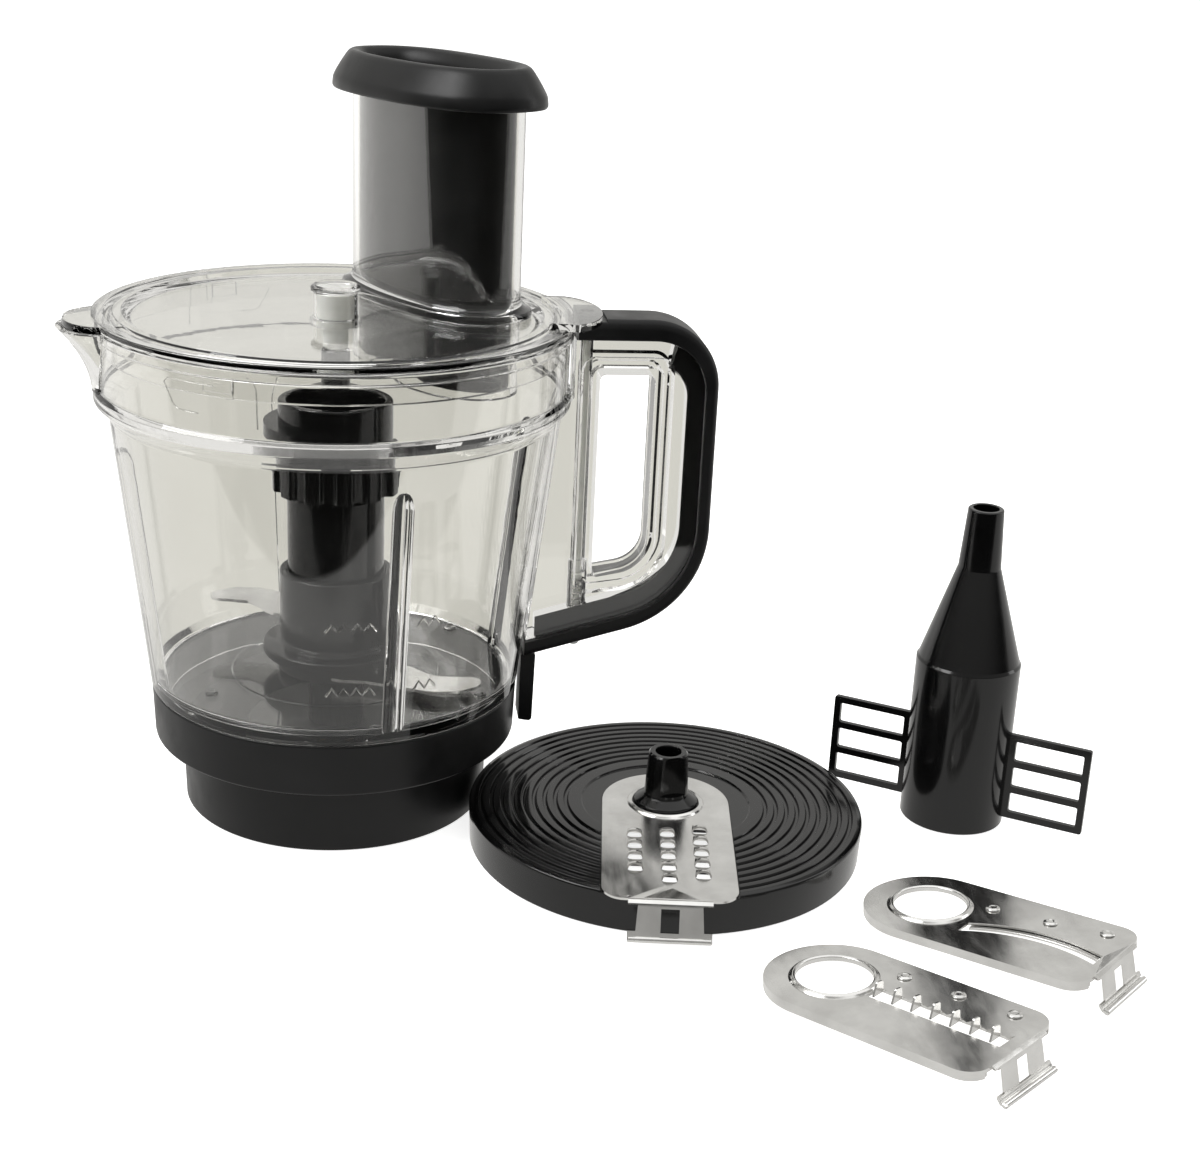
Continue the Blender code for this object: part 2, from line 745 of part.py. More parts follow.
def handle_frame(parent):
    """The clear D, its column close to the bowl's wall and its finger opening."""
    inset = STRAP_DEPTH + GAP
    outline = handle_path(inset, wall_r(76.0) + 0.6, COLUMN_X)
    outline += [(COLUMN_X, 181.0), (wall_r(172.0) + 1.4, 172.0)]
    corner = 15.0
    finger = [(FINGER_IN, FINGER_TOP), (FINGER_IN, FINGER_LOW)]
    finger += arc((FINGER_OUT - corner, FINGER_LOW + corner + 5.0), corner, -80.0, 0.0, 6)
    finger += [(FINGER_OUT, FINGER_TOP)]
    frame = node("handle_frame", upright(outline, FRAME_WIDTH, [finger]), "clear", parent)
    low_x = ROD_X + 8.0 - GAP
    groove = handle_path(STRAP_DEPTH - 2.0, low_x, low_x)
    groove += handle_path(WEB_DEPTH + GAP, low_x, low_x)[::-1]
    combine(frame, "DIFFERENCE", upright(groove, WEB_WIDTH + 2.0 * GAP), "groove")
    combine(frame, "DIFFERENCE", rod(ROD_BORE_R, 60.0, 215.0, (ROD_X, 0.0)), "rod_bore")
    pocket = rod(SPRING_BORE_R, SPRING_LOW - 1.0, SPRING_TOP + 9.0, (ROD_X, 0.0))
    combine(frame, "DIFFERENCE", pocket, "spring_pocket")


def interlock_guide(parent):
    outline = [(79.9, 33.0), (85.9, 32.0), (86.7, 64.0), (80.3, 64.0)]
    node("interlock_guide", upright(outline, 14.0), "black_satin", parent)


def interlock_rod(parent):
    collar_low = SPRING_TOP + GAP
    profile = [
        (0.0, ROD_LOW),
        (ROD_R, ROD_LOW),
        (ROD_R, collar_low),
        (SPRING_BORE_R - 0.4, collar_low),
        (SPRING_BORE_R - 0.4, collar_low + 2.0),
        (ROD_R, collar_low + 2.0),
        (ROD_R, ROD_TOP),
        (0.0, ROD_TOP),
    ]
    node("interlock_rod", lathe(profile, TINY_ROUND), "natural", parent)


def interlock_spring(parent):
    """A round wire coiled round the rod."""
    steps = SPRING_TURNS * SPRING_STEPS
    low = SPRING_LOW + SPRING_WIRE_R
    climb = SPRING_TOP - SPRING_LOW - 2.0 * SPRING_WIRE_R
    sections = []
    for i in range(steps + 1):
        turn = math.tau * SPRING_TURNS * i / steps
        ring = []
        for k in range(4):
            around = math.tau * k / 4.0
            r = SPRING_R + SPRING_WIRE_R * math.cos(around)
            z = low + climb * i / steps + SPRING_WIRE_R * math.sin(around)
            ring.append((r * math.cos(turn), r * math.sin(turn), z))
        sections.append(ring)
    node("interlock_spring", loft(sections), "steel", parent)


# ---------------------------------------------------------------- lid and pusher


def lid_tab():
    """The rounded tab that reaches over the handle when the lid is closed."""
    points = arc((0.0, 0.0), 90.0, 15.0, -19.5, 8)
    for i in range(TAB_STEPS + 1):
        turn = math.radians(TAB_SWEEP * (2.0 * i / TAB_STEPS - 1.0))
        points.append((TAB_X + TAB_REACH * math.cos(turn), TAB_Y + TAB_HALF_WIDTH * math.sin(turn)))
    return prism(points, STEP_Z + 0.5, STEP_Z + 3.6)


def lid_shell(parent):
    rim_in = 84.0
    profile = [
        (9.4, LID_PLATE_TOP),
        (rim_in, LID_PLATE_TOP),
        (rim_in + 1.5, LID_TOP),
        (LID_R - 1.3, LID_TOP),
        (LID_R, LID_TOP - 1.2),
        (LID_R, LID_RIM_LOW),
        (SKIRT_R, LID_RIM_LOW),
        (SKIRT_R, SKIRT_LOW),
        (SKIRT_R - 2.0, SKIRT_LOW),
        (SKIRT_R - 2.0, LID_PLATE_LOW),
        (9.4, LID_PLATE_LOW),
    ]
    lid = node("lid_shell", lathe(profile), "clear", parent)
    cover_low = spout_section(LID_NOSE_R, 97.0, 12.0, LID_RIM_LOW, 88.0)
    cover_high = spout_section(LID_NOSE_R - 0.6, 96.6, 12.0, LID_TOP - 0.3, 88.0)
    cover = spout(cover_low, cover_high)
    combine(lid, "UNION", cover, "spout_cover")
    combine(lid, "UNION", lid_tab(), "tab")
    tube_hole = oval(TUBE_LONG + GAP, TUBE_SHORT + GAP)
    combine(lid, "DIFFERENCE", tube_shape(prism(tube_hole, 200.0, 220.0)), "tube_hole")
    foot_seat = oval(FOOT_RING_LONG + GAP, FOOT_RING_SHORT + GAP)
    seat_shape = tube_shape(prism(foot_seat, LID_PLATE_TOP - 0.01, 220.0))
    combine(lid, "DIFFERENCE", seat_shape, "foot_seat")
    for number, azimuth in enumerate(LUG_AZIMUTHS, 1):
        lug = [(90.8, -5.5), (93.8, -5.5), (93.8, 5.5), (90.8, 5.5)]
        lug_shape = moved(prism(lug, 201.5, 205.0), turn=azimuth)
        combine(lid, "UNION", lug_shape, f"lug_{number}")


def feed_tube(parent):
    """Oval tube above the lid, with its foot ring and the chute below."""
    inner_long = TUBE_LONG - TUBE_WALL
    inner_short = TUBE_SHORT - TUBE_WALL
    foot_low = LID_PLATE_TOP + GAP
    foot_high = LID_PLATE_TOP + 3.6
    steps = [
        (TUBE_LONG, TUBE_SHORT, CHUTE_LOW),
        (TUBE_LONG, TUBE_SHORT, foot_low),
        (FOOT_RING_LONG, FOOT_RING_SHORT, foot_low),
        (FOOT_RING_LONG - 1.0, FOOT_RING_SHORT - 1.0, foot_high),
        (TUBE_LONG, TUBE_SHORT, foot_high + 3.0),
        (TUBE_LONG, TUBE_SHORT, TUBE_TOP),
        (inner_long, inner_short, TUBE_TOP),
        (inner_long, inner_short, CHUTE_LOW),
    ]
    rings = [level(oval(long, short), z) for long, short, z in steps]
    node("feed_tube", tube_shape(hoop(rings)), "clear", parent)


def hoop(sections):
    """Rings joined in order and back to the first, which makes a tube."""
    bm = bmesh.new()
    rings = [[bm.verts.new((x * MM, y * MM, z * MM)) for x, y, z in points] for points in sections]
    for low, high in zip(rings, rings[1:] + rings[:1]):
        skin(bm, low, high)
    return bm


def lid_socket(parent):
    profile = [
        (7.9, 206.2),
        (10.6, 206.2),
        (10.6, 209.1),
        (9.0, 209.1),
        (9.0, 225.0),
        (0.0, 225.0),
        (0.0, 222.6),
        (7.9, 222.6),
    ]
    node("lid_socket", lathe(profile, SMALL_ROUND), "clear", parent)


def lid_bearing(parent):
    profile = [
        (3.2, 196.6),
        (5.2, 196.6),
        (5.2, 205.5),
        (7.6, 205.5),
        (7.6, 222.0),
        (0.0, 222.0),
        (0.0, 204.5),
        (3.2, 204.5),
    ]
    node("lid_bearing", lathe(profile, SMALL_ROUND), "natural", parent)


def pusher_body(parent):
    """A deep oval cup that is open at its top."""
    long = TUBE_LONG - TUBE_WALL - PUSHER_PLAY
    short = TUBE_SHORT - TUBE_WALL - PUSHER_PLAY
    wall = 2.2
    top = FLANGE_LOW - 0.4
    rings = [
        level(oval(long - 1.0, short - 1.0), PUSHER_LOW),
        level(oval(long, short), PUSHER_LOW + 1.5),
        level(oval(long, short), top),
        level(oval(long - wall, short - wall), top),
        level(oval(long - wall, short - wall), PUSHER_LOW + 3.0),
    ]
    node("pusher_body", tube_shape(loft(rings)), "black_gloss", parent)


def pusher_flange(parent):
    """The flared cap that rests on the tube and frames the hollow."""
    steps = [
        (43.4, 16.4, FLANGE_LOW),
        (55.5, 28.5, FLANGE_LOW),
        (57.0, 30.0, FLANGE_LOW - 0.3),
        (58.6, 31.8, FLANGE_LOW + 1.0),
        (58.0, 31.2, FLANGE_LOW + 5.0),
        (54.0, 27.6, PUSHER_TOP - 3.2),
        (50.0, 24.2, PUSHER_TOP),
        (46.0, 20.2, PUSHER_TOP - 0.4),
        (43.4, 17.4, PUSHER_TOP - 4.0),
    ]
    rings = [level(oval(long, short), z) for long, short, z in steps]
    node("pusher_flange", tube_shape(hoop(rings)), "black_satin", parent)


# ---------------------------------------------------------------- disc and inserts


def insert_outline(half, head_r, length, corner=INSERT_CORNER_R):
    """Round at the hub end and square at the tab end, along +X."""
    points = arc((0.0, 0.0), head_r, 90.0, 270.0, 16)
    points += arc((length - corner, -half + corner), corner, -90.0, 0.0, 4)
    points += arc((length - corner, half - corner), corner, 0.0, 90.0, 4)
    return points


def insert_tab(reach, drop, thick=INSERT_THICK):
    """The leg that bends down at the tab end, with its outward lip."""
    length = INSERT_LENGTH
    line = [
        (length - 3.0, 0.0),
        (length + 1.0, -0.6),
        (length + reach, -drop + 1.6),
        (length + reach + 2.6, -drop + 0.9),
    ]
    under = [(x - thick * 1.1, z - thick) for x, z in line[1:3]]
    outline = line + [(line[3][0], line[3][1] - thick)] + under[::-1]
    outline += [(length - 3.0, -thick)]
    return upright(outline, 2.0 * TAB_HALF)


def grooved_disc(parent):
    wall = 2.4
    plate = 3.0
    profile = [
        (9.0, DISC_HIGH - plate),
        (DISC_R - wall, DISC_HIGH - plate),
        (DISC_R - wall, 0.2),
        (DISC_R - 0.5, 0.2),
        (DISC_R, DISC_HIGH - 1.5),
        (DISC_R - 1.5, DISC_HIGH),
        (9.0, DISC_HIGH),
    ]
    disc = node("grooved_disc", lathe(profile, ROUND + 8), "black_gloss", parent)
    seat = insert_outline(INSERT_HALF + 0.4, INSERT_HALF + 0.4, 100.0)
    combine(disc, "DIFFERENCE", prism(seat, SEAT_Z, DISC_HIGH + 2.0), "insert_seat")
    chute = [(22.0, -19.5), (77.5, -23.0), (77.5, 23.0), (22.0, 19.5)]
    combine(disc, "DIFFERENCE", prism(chute, 10.0, DISC_HIGH + 2.0), "food_slot")


def disc_stem(parent):
    profile = [
        (5.0, SEAT_Z + GAP),
        (13.4, SEAT_Z + GAP),
        (13.4, 18.6),
        (9.4, 21.4),
        (8.2, STEM_TOP),
        (5.0, STEM_TOP),
    ]
    node("disc_stem", lathe(profile, SMALL_ROUND), "black_gloss", parent)


def tooth_spots():
    """Three columns of cutting holes, five, five and four."""
    spots = []
    for column, (y, count) in enumerate(((13.5, 5), (0.0, 5), (-13.5, 4))):
        start = 25.5 + 3.6 * (column == 1) + 5.0 * (column == 2)
        spots += [(start + 9.6 * i, y) for i in range(count)]
    return spots


def shredding_insert(parent):
    top = SEAT_Z + GAP + INSERT_THICK
    holes = [circle(INSERT_HOLE_R, 24)] + [circle(3.0, 8, at) for at in tooth_spots()]
    outline = insert_outline(INSERT_HALF, INSERT_HALF, INSERT_LENGTH + 5.6)
    plate = prism(outline, top - INSERT_THICK, top, holes)
    insert = node("shredding_insert", plate, "steel", parent)
    combine(insert, "UNION", moved(insert_tab(6.0, 14.0), x=6.2, z=top), "tab")


def loose_plate(name, slots, parent):
    """An insert with a turned-down rim, which stands on its tab and its round end."""
    half = INSERT_HALF - 0.4
    outline = insert_outline(half, half, INSERT_LENGTH)
    holes = [circle(INSERT_HOLE_R + 1.0, 24)] + slots
    plate = node(name, prism(outline, -INSERT_RIM, 0.0, holes), "steel", parent)
    inner = insert_outline(half - 0.9, half - 0.9, INSERT_LENGTH - 0.9)
    combine(plate, "DIFFERENCE", prism(inner, -INSERT_RIM - 1.0, -INSERT_THICK), "tray")
    combine(plate, "UNION", insert_tab(3.6, 14.2), "tab")


def rivets(name, spots, parent):
    profile = [(0.0, -2.4), (2.0, -2.4), (2.0, 0.3), (2.6, 0.3), (2.0, 1.0), (0.0, 1.2)]
    for number, (x, y) in enumerate(spots, 1):
        rivet = node(f"{name}_rivet_{number}", lathe(profile, TINY_ROUND), "steel", parent)
        rivet.location = (x * MM, y * MM, 0.0)


def blade_strip(name, spots, outline, parent):
    """The cutting strip under the plate, with a hole for each rivet."""
    holes = [circle(2.2, 12, at) for at in spots]
    strip = prism(outline, -INSERT_THICK - GAP - 1.0, -INSERT_THICK - GAP, holes)
    node(name, strip, "steel", parent)


def slicing_insert(parent):
    spots = [(22.0, 11.0), (46.0, 13.0), (68.0, 17.0)]
    holes = [circle(2.2, 12, at) for at in spots]
    slot = arc((52.0, -56.0), 60.0, 122.0, 68.0, 8) + arc((52.0, -64.0), 60.0, 68.0, 122.0, 8)
    loose_plate("slicing_plate", [slot] + holes, parent)
    strip = arc((52.0, -58.5), 60.0, 121.0, 69.0, 8) + [(73.5, 21.5), (18.5, 17.0)]
    blade_strip("slicing_blade", spots, strip, parent)
    rivets("slicing", spots, parent)


def julienne_insert(parent):
    spots = [(20.0, 16.5), (43.0, 17.5), (66.0, 18.5)]
    holes = [circle(2.2, 12, at) for at in spots]
    slot = [(16.0, -4.0), (74.0, -4.0), (74.0, 6.0), (16.0, 6.0)]
    loose_plate("julienne_plate", [slot] + holes, parent)
    strip = [(14.5, 5.0), (75.5, 5.0), (75.5, 22.0), (14.5, 21.0)]
    blade_strip("julienne_blade", spots, strip, parent)
    rivets("julienne", spots, parent)


# ---------------------------------------------------------------- whisk tool


def whisk_body(parent):
    profile = [
        (WHISK_R, 0.2),
        (WHISK_R, WHISK_SHOULDER),
        (9.1, WHISK_NECK_Z),
        (7.6, WHISK_TOP),
        (5.4, WHISK_TOP),
        (5.4, WHISK_NECK_Z),
        (WHISK_R - 2.2, WHISK_SHOULDER - 1.0),
        (WHISK_R - 2.2, 0.2),
    ]
    node("whisk_body", lathe(profile, ROUND), "black_gloss", parent)


def whisk_paddles(parent):
    inner = WHISK_R + GAP
    pitch = (PADDLE_TOP - PADDLE_LOW - PADDLE_BAR) / 3.0
    holes = []
    for row in range(3):
        low = PADDLE_LOW + PADDLE_BAR + pitch * row
        high = low + pitch - PADDLE_BAR
        left = inner + PADDLE_BAR
        right = PADDLE_OUT - PADDLE_BAR
        holes.append([(left, low), (right, low), (right, high), (left, high)])
    frame = [(inner, PADDLE_LOW), (PADDLE_OUT, PADDLE_LOW)]
    frame += [(PADDLE_OUT, PADDLE_TOP), (inner, PADDLE_TOP)]
    for side, turn in (("front", 0.0), ("rear", 180.0)):
        paddle = moved(upright(frame, 2.4, holes), turn=turn)
        node(f"whisk_paddle_{side}", paddle, "black_gloss", parent)


# ---------------------------------------------------------------- assembly


def build_bowl_unit():
    base = place("bowl_axis", BOWL_AT)
    drive_housing(base)
    base_plate(base)
    base_screws(base)
    gearbox_housing(base)
    ring_gear(base)
    spindle_bush(base)
    shaft_seal(base)
    bowl_shell(base)
    handle_strap(base)
    handle_frame(base)
    interlock_guide(base)
    input_drive(place("input_axis", parent=base))
    spindle = place("spindle_axis", parent=base)
    planet_carrier(spindle)
    planet_gears(spindle)
    spindle_shaft(spindle)
    blade_hub(spindle)
    hub_grip(spindle)
    hub_cup(spindle)
    centre_post(spindle)
    blades(spindle)
    interlock = place("interlock_axis", (ROD_X, 0.0), parent=base)
    interlock_rod(interlock)
    interlock_spring(interlock)
    lid = place("lid_axis", parent=base)
    lid_bearing(lid)
    lid_shell(lid)
    feed_tube(lid)
    lid_socket(lid)
    pusher_body(lid)
    pusher_flange(lid)


def build_accessories():
    disc = place("disc_axis", DISC_AT, turn=DISC_TURN - 90.0)
    grooved_disc(disc)
    disc_stem(disc)
    shredding_insert(disc)
    whisk = place("whisk_axis", WHISK_AT, turn=WHISK_TURN)
    whisk_body(whisk)
    whisk_paddles(whisk)
    slicer = place("slicer_axis", SLICER_AT, LOOSE_INSERT_Z, SLICER_TURN, LOOSE_INSERT_TILT)
    slicing_insert(slicer)
    julienne = place(
        "julienne_axis", JULIENNE_AT, LOOSE_INSERT_Z, JULIENNE_TURN, LOOSE_INSERT_TILT
    )
    julienne_insert(julienne)


clear_scene()
build_bowl_unit()
build_accessories()
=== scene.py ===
"""Looks of the food processor bowl unit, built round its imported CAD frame.

Lengths are in millimetres and MM turns them into metres. Each piece is drawn in
its own group's axes and then moved to the group's place in the row frame.
"""

import math

import bmesh
import bpy
from mathutils import Matrix, Vector


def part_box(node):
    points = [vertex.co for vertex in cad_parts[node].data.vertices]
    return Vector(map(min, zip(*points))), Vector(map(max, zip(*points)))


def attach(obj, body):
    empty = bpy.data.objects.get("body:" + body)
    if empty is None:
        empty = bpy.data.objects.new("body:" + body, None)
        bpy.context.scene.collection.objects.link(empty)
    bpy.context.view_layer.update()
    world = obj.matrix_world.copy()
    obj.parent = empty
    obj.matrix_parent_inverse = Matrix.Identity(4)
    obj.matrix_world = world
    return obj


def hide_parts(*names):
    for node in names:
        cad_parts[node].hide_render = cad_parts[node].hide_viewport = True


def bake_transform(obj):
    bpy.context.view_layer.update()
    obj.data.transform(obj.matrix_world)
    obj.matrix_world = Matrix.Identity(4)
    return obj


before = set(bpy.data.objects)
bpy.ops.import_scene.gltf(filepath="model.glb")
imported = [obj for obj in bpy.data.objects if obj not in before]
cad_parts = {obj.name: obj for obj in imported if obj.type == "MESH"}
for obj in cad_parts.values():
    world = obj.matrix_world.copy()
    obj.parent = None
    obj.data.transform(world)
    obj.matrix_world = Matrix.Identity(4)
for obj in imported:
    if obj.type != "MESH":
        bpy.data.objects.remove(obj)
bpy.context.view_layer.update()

MM = 0.001
FINE = 144
MEDIUM = 72
SMALL = 40


def middle(name):
    low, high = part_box(name)
    return (low + high) / 2.0


def standing(x, y, z=0.0, turn=0.0, tilt=0.0):
    """The place of a group whose own axes are turned about Z and tipped about Y."""
    spin = Matrix.Rotation(math.radians(turn), 4, "Z") @ Matrix.Rotation(math.radians(-tilt), 4, "Y")
    return Matrix.Translation((x, y, z)) @ spin


BOWL_X, BOWL_Y = middle("drive_housing").xy
DISC_X, DISC_Y = middle("grooved_disc").xy
BOWL = standing(BOWL_X, BOWL_Y)
DISC = standing(DISC_X, DISC_Y, turn=-97.6)
WHISK = standing(0.1661, 0.0415, turn=-33.0)
SLICER = standing(0.129, -0.0512, 0.0066, turn=-47.0, tilt=5.8)
JULIENNE = standing(0.0773, -0.1024, 0.0066, turn=-51.0, tilt=5.8)
TUBE = BOWL @ standing(0.042, 0.035, turn=121.5)

# ---------------------------------------------------------------- materials


def blank(name):
    made = bpy.data.materials.new(name)
    made.use_nodes = True
    return made, made.node_tree, made.node_tree.nodes["Principled BSDF"]


def noise(tree, scale, detail=3.0, stretch=(1.0, 1.0, 1.0)):
    """Cloudy noise in the row frame, in features per metre, and its 0 to 1 value."""
    place = tree.nodes.new("ShaderNodeTexCoord")
    mapping = tree.nodes.new("ShaderNodeMapping")
    mapping.inputs["Scale"].default_value = stretch
    texture = tree.nodes.new("ShaderNodeTexNoise")
    texture.inputs["Scale"].default_value = scale
    texture.inputs["Detail"].default_value = detail
    tree.links.new(place.outputs["Object"], mapping.inputs["Vector"])
    tree.links.new(mapping.outputs["Vector"], texture.inputs["Vector"])
    return texture.outputs["Fac"]


def spread(tree, value, low, high):
    """The noise's middle range stretched to low..high."""
    made = tree.nodes.new("ShaderNodeMapRange")
    made.inputs["From Min"].default_value = 0.3
    made.inputs["From Max"].default_value = 0.7
    made.inputs["To Min"].default_value = low
    made.inputs["To Max"].default_value = high
    tree.links.new(value, made.inputs["Value"])
    return made.outputs["Result"]


def tones(tree, value, dark, light):
    ramp = tree.nodes.new("ShaderNodeValToRGB")
    ramp.color_ramp.elements[0].position = 0.3
    ramp.color_ramp.elements[1].position = 0.7
    ramp.color_ramp.elements[0].color = (*dark, 1.0)
    ramp.color_ramp.elements[1].color = (*light, 1.0)
    tree.links.new(value, ramp.inputs["Fac"])
    return ramp.outputs["Color"]


def bumped(tree, shader, height, strength, depth):
    bump = tree.nodes.new("ShaderNodeBump")
    bump.inputs["Strength"].default_value = strength
    bump.inputs["Distance"].default_value = depth
    tree.links.new(height, bump.inputs["Height"])
    tree.links.new(bump.outputs["Normal"], shader.inputs["Normal"])


def clear_plastic():
    """Moulded clear plastic, faintly wavy, that lets lamps through."""
    made, tree, shader = blank("clear_plastic")
    links = tree.links
    shader.inputs["Transmission Weight"].default_value = 1.0
    shader.inputs["IOR"].default_value = 1.49
    cloud = noise(tree, 26.0, 2.0)
    links.new(tones(tree, cloud, (0.945, 0.943, 0.93), (0.97, 0.968, 0.958)), shader.inputs["Base Color"])
    links.new(spread(tree, cloud, 0.0, 0.02), shader.inputs["Roughness"])
    bumped(tree, shader, noise(tree, 60.0, 2.0), 0.06, 0.0004)
    path = tree.nodes.new("ShaderNodeLightPath")
    through = tree.nodes.new("ShaderNodeBsdfTransparent")
    through.inputs["Color"].default_value = (0.93, 0.93, 0.915, 1.0)
    mix = tree.nodes.new("ShaderNodeMixShader")
    links.new(path.outputs["Is Shadow Ray"], mix.inputs[0])
    links.new(shader.outputs["BSDF"], mix.inputs[1])
    links.new(through.outputs["BSDF"], mix.inputs[2])
    links.new(mix.outputs["Shader"], tree.nodes["Material Output"].inputs["Surface"])
    return made


def black_plastic(name, tone, low, high, grain, depth, specular=0.32, coat=0.0):
    """Black moulding with a fine surface grain and a little uneven shine."""
    made, tree, shader = blank(name)
    shader.inputs["Specular IOR Level"].default_value = specular
    shader.inputs["Coat Weight"].default_value = coat
    shader.inputs["Coat Roughness"].default_value = 0.08
    cloud = noise(tree, 45.0, 4.0)
    dark, light = (0.6 * tone, 0.6 * tone, 0.63 * tone), (1.3 * tone, 1.3 * tone, 1.35 * tone)
    tree.links.new(tones(tree, cloud, dark, light), shader.inputs["Base Color"])
    tree.links.new(spread(tree, noise(tree, 90.0, 4.0), low, high), shader.inputs["Roughness"])
    bumped(tree, shader, noise(tree, grain, 3.0), 0.2, depth)
    return made


def milky_plastic():
    made, tree, shader = blank("natural_plastic")
    shader.inputs["Subsurface Weight"].default_value = 0.35
    shader.inputs["Subsurface Radius"].default_value = (0.004, 0.004, 0.0035)
    cloud = noise(tree, 160.0, 3.0)
    tree.links.new(tones(tree, cloud, (0.46, 0.465, 0.46), (0.55, 0.555, 0.55)), shader.inputs["Base Color"])
    tree.links.new(spread(tree, cloud, 0.36, 0.5), shader.inputs["Roughness"])
    bumped(tree, shader, noise(tree, 900.0, 2.0), 0.2, 0.0001)
    return made


def metal(name, dark, light, low, high, stretch, depth):
    """Pressed and lightly brushed metal."""
    made, tree, shader = blank(name)
    shader.inputs["Metallic"].default_value = 1.0
    streak = noise(tree, 220.0, 4.0, stretch)
    tree.links.new(tones(tree, noise(tree, 60.0, 3.0), dark, light), shader.inputs["Base Color"])
    tree.links.new(spread(tree, streak, low, high), shader.inputs["Roughness"])
    bumped(tree, shader, streak, 0.25, depth)
    return made


def seal_rubber():
    made, tree, shader = blank("rubber")
    cloud = noise(tree, 300.0, 4.0)
    tree.links.new(tones(tree, cloud, (0.02, 0.02, 0.02), (0.04, 0.04, 0.04)), shader.inputs["Base Color"])
    tree.links.new(spread(tree, cloud, 0.65, 0.85), shader.inputs["Roughness"])
    bumped(tree, shader, cloud, 0.4, 0.0002)
    return made


LOOKS = {
    "clear_plastic": clear_plastic(),
    "black_satin": black_plastic("black_satin", 0.0035, 0.3, 0.42, 2600.0, 0.00004, 0.25),
    "black_gloss": black_plastic("black_gloss", 0.0018, 0.1, 0.18, 700.0, 0.000006, 0.32, 0.2),
    "black_soft": black_plastic("black_soft", 0.0015, 0.32, 0.42, 1500.0, 0.00002, 0.26),
    "natural_plastic": milky_plastic(),
    "stainless_steel": metal(
        "stainless_steel", (0.60, 0.595, 0.58), (0.74, 0.735, 0.72), 0.13, 0.26, (1.0, 0.25, 1.0), 0.00002
    ),
    "brass": metal("brass", (0.62, 0.44, 0.18), (0.76, 0.57, 0.27), 0.25, 0.4, (1.0, 1.0, 0.2), 0.00003),
    "rubber": seal_rubber(),
}

# ---------------------------------------------------------------- shapes


def rounded(points, steps=4):
    """A closed outline of (x, y) or (x, y, corner radius) points with its corners rounded."""
    out = []
    for i, point in enumerate(points):
        here = Vector(point[:2])
        radius = point[2] if len(point) > 2 else 0.0
        if radius <= 0.0:
            out.append(tuple(here))
            continue
        before = Vector(points[i - 1][:2]) - here
        after = Vector(points[(i + 1) % len(points)][:2]) - here
        half = before.angle(after) / 2.0
        reach = min(radius / math.tan(half), 0.49 * before.length, 0.49 * after.length)
        radius = reach * math.tan(half)
        before.normalize()
        after.normalize()
        centre = here + (before + after).normalized() * (radius / math.sin(half))
        first = here + before * reach - centre
        last = here + after * reach - centre
        start = math.atan2(first.y, first.x)
        sweep = math.atan2(last.y, last.x) - start
        sweep = (sweep + math.pi) % math.tau - math.pi
        for k in range(steps + 1):
            angle = start + sweep * k / steps
            out.append((centre.x + radius * math.cos(angle), centre.y + radius * math.sin(angle)))
    return out


def skin(bm, low, high, closed=True):
    """Faces between two rows of vertices, either of which may be one point."""
    count = max(len(low), len(high))
    for i in range(count if closed else count - 1):
        j = (i + 1) % count
        if len(low) == 1:
            bm.faces.new((low[0], high[j], high[i]))
        elif len(high) == 1:
            bm.faces.new((low[i], low[j], high[0]))
        else:
            bm.faces.new((low[i], low[j], high[j], high[i]))


def rows(bm, sections):
    return [[bm.verts.new((x * MM, y * MM, z * MM)) for x, y, z in points] for points in sections]


def lathe(profile, segments=FINE, steps=4):
    """A closed profile of (radius, height) or (radius, height, corner radius), turned round Z."""
    bm = bmesh.new()
    rings = []
    for r, z in rounded(profile, steps):
        count = segments if r > 1e-6 else 1
        turns = [math.tau * i / segments for i in range(count)]
        rings.append([(r * math.cos(turn), r * math.sin(turn), z) for turn in turns])
    made = rows(bm, rings)
    for low, high in zip(made, made[1:] + made[:1]):
        if len(low) > 1 or len(high) > 1:
            skin(bm, low, high)
    return bm


def prism(outline, low, high, holes=()):
    """A flat outline with holes, extruded from low to high along Z."""
    bm = bmesh.new()
    for loop in (outline, *holes):
        verts = [bm.verts.new((x * MM, y * MM, low * MM)) for x, y in loop]
        for a, b in zip(verts, verts[1:] + verts[:1]):
            bm.edges.new((a, b))
    bmesh.ops.triangle_fill(bm, use_beauty=True, edges=bm.edges[:])
    made = bmesh.ops.extrude_face_region(bm, geom=bm.faces[:])["geom"]
    top = [v for v in made if isinstance(v, bmesh.types.BMVert)]
    bmesh.ops.translate(bm, vec=(0.0, 0.0, (high - low) * MM), verts=top)
    return bm


def upright(outline, width, holes=()):
    """A prism that stands in the XZ plane, centred on Y."""
    bm = prism(outline, -width / 2.0, width / 2.0, holes)
    bmesh.ops.rotate(bm, matrix=Matrix.Rotation(math.radians(90.0), 3, "X"), verts=bm.verts)
    return bm


def loft(sections, capped=True):
    """A body through sections of the same number of points, capped or joined end to end."""
    bm = bmesh.new()
    made = rows(bm, sections)
    for low, high in zip(made, made[1:]):
        skin(bm, low, high)
    if capped:
        bm.faces.new(made[0])
        bm.faces.new(made[-1])
    else:
        skin(bm, made[-1], made[0])
    return bm


def pipe(points, r, count=10, closed=False):
    """A round bar along points, with a frame that turns as little as it can."""
    line = [Vector(p) for p in points]
    sections = []
    side = None
    for i, here in enumerate(line):
        if closed:
            along = line[(i + 1) % len(line)] - line[i - 1]
        else:
            along = line[min(i + 1, len(line) - 1)] - line[max(i - 1, 0)]
        along.normalize()
        if side is None:
            side = along.orthogonal()
        side = (side - along * side.dot(along)).normalized()
        other = along.cross(side)
        ring = []
        for k in range(count):
            a = math.tau * k / count
            ring.append(tuple(here + (side * math.cos(a) + other * math.sin(a)) * r))
        sections.append(ring)
    return loft(sections, capped=not closed)


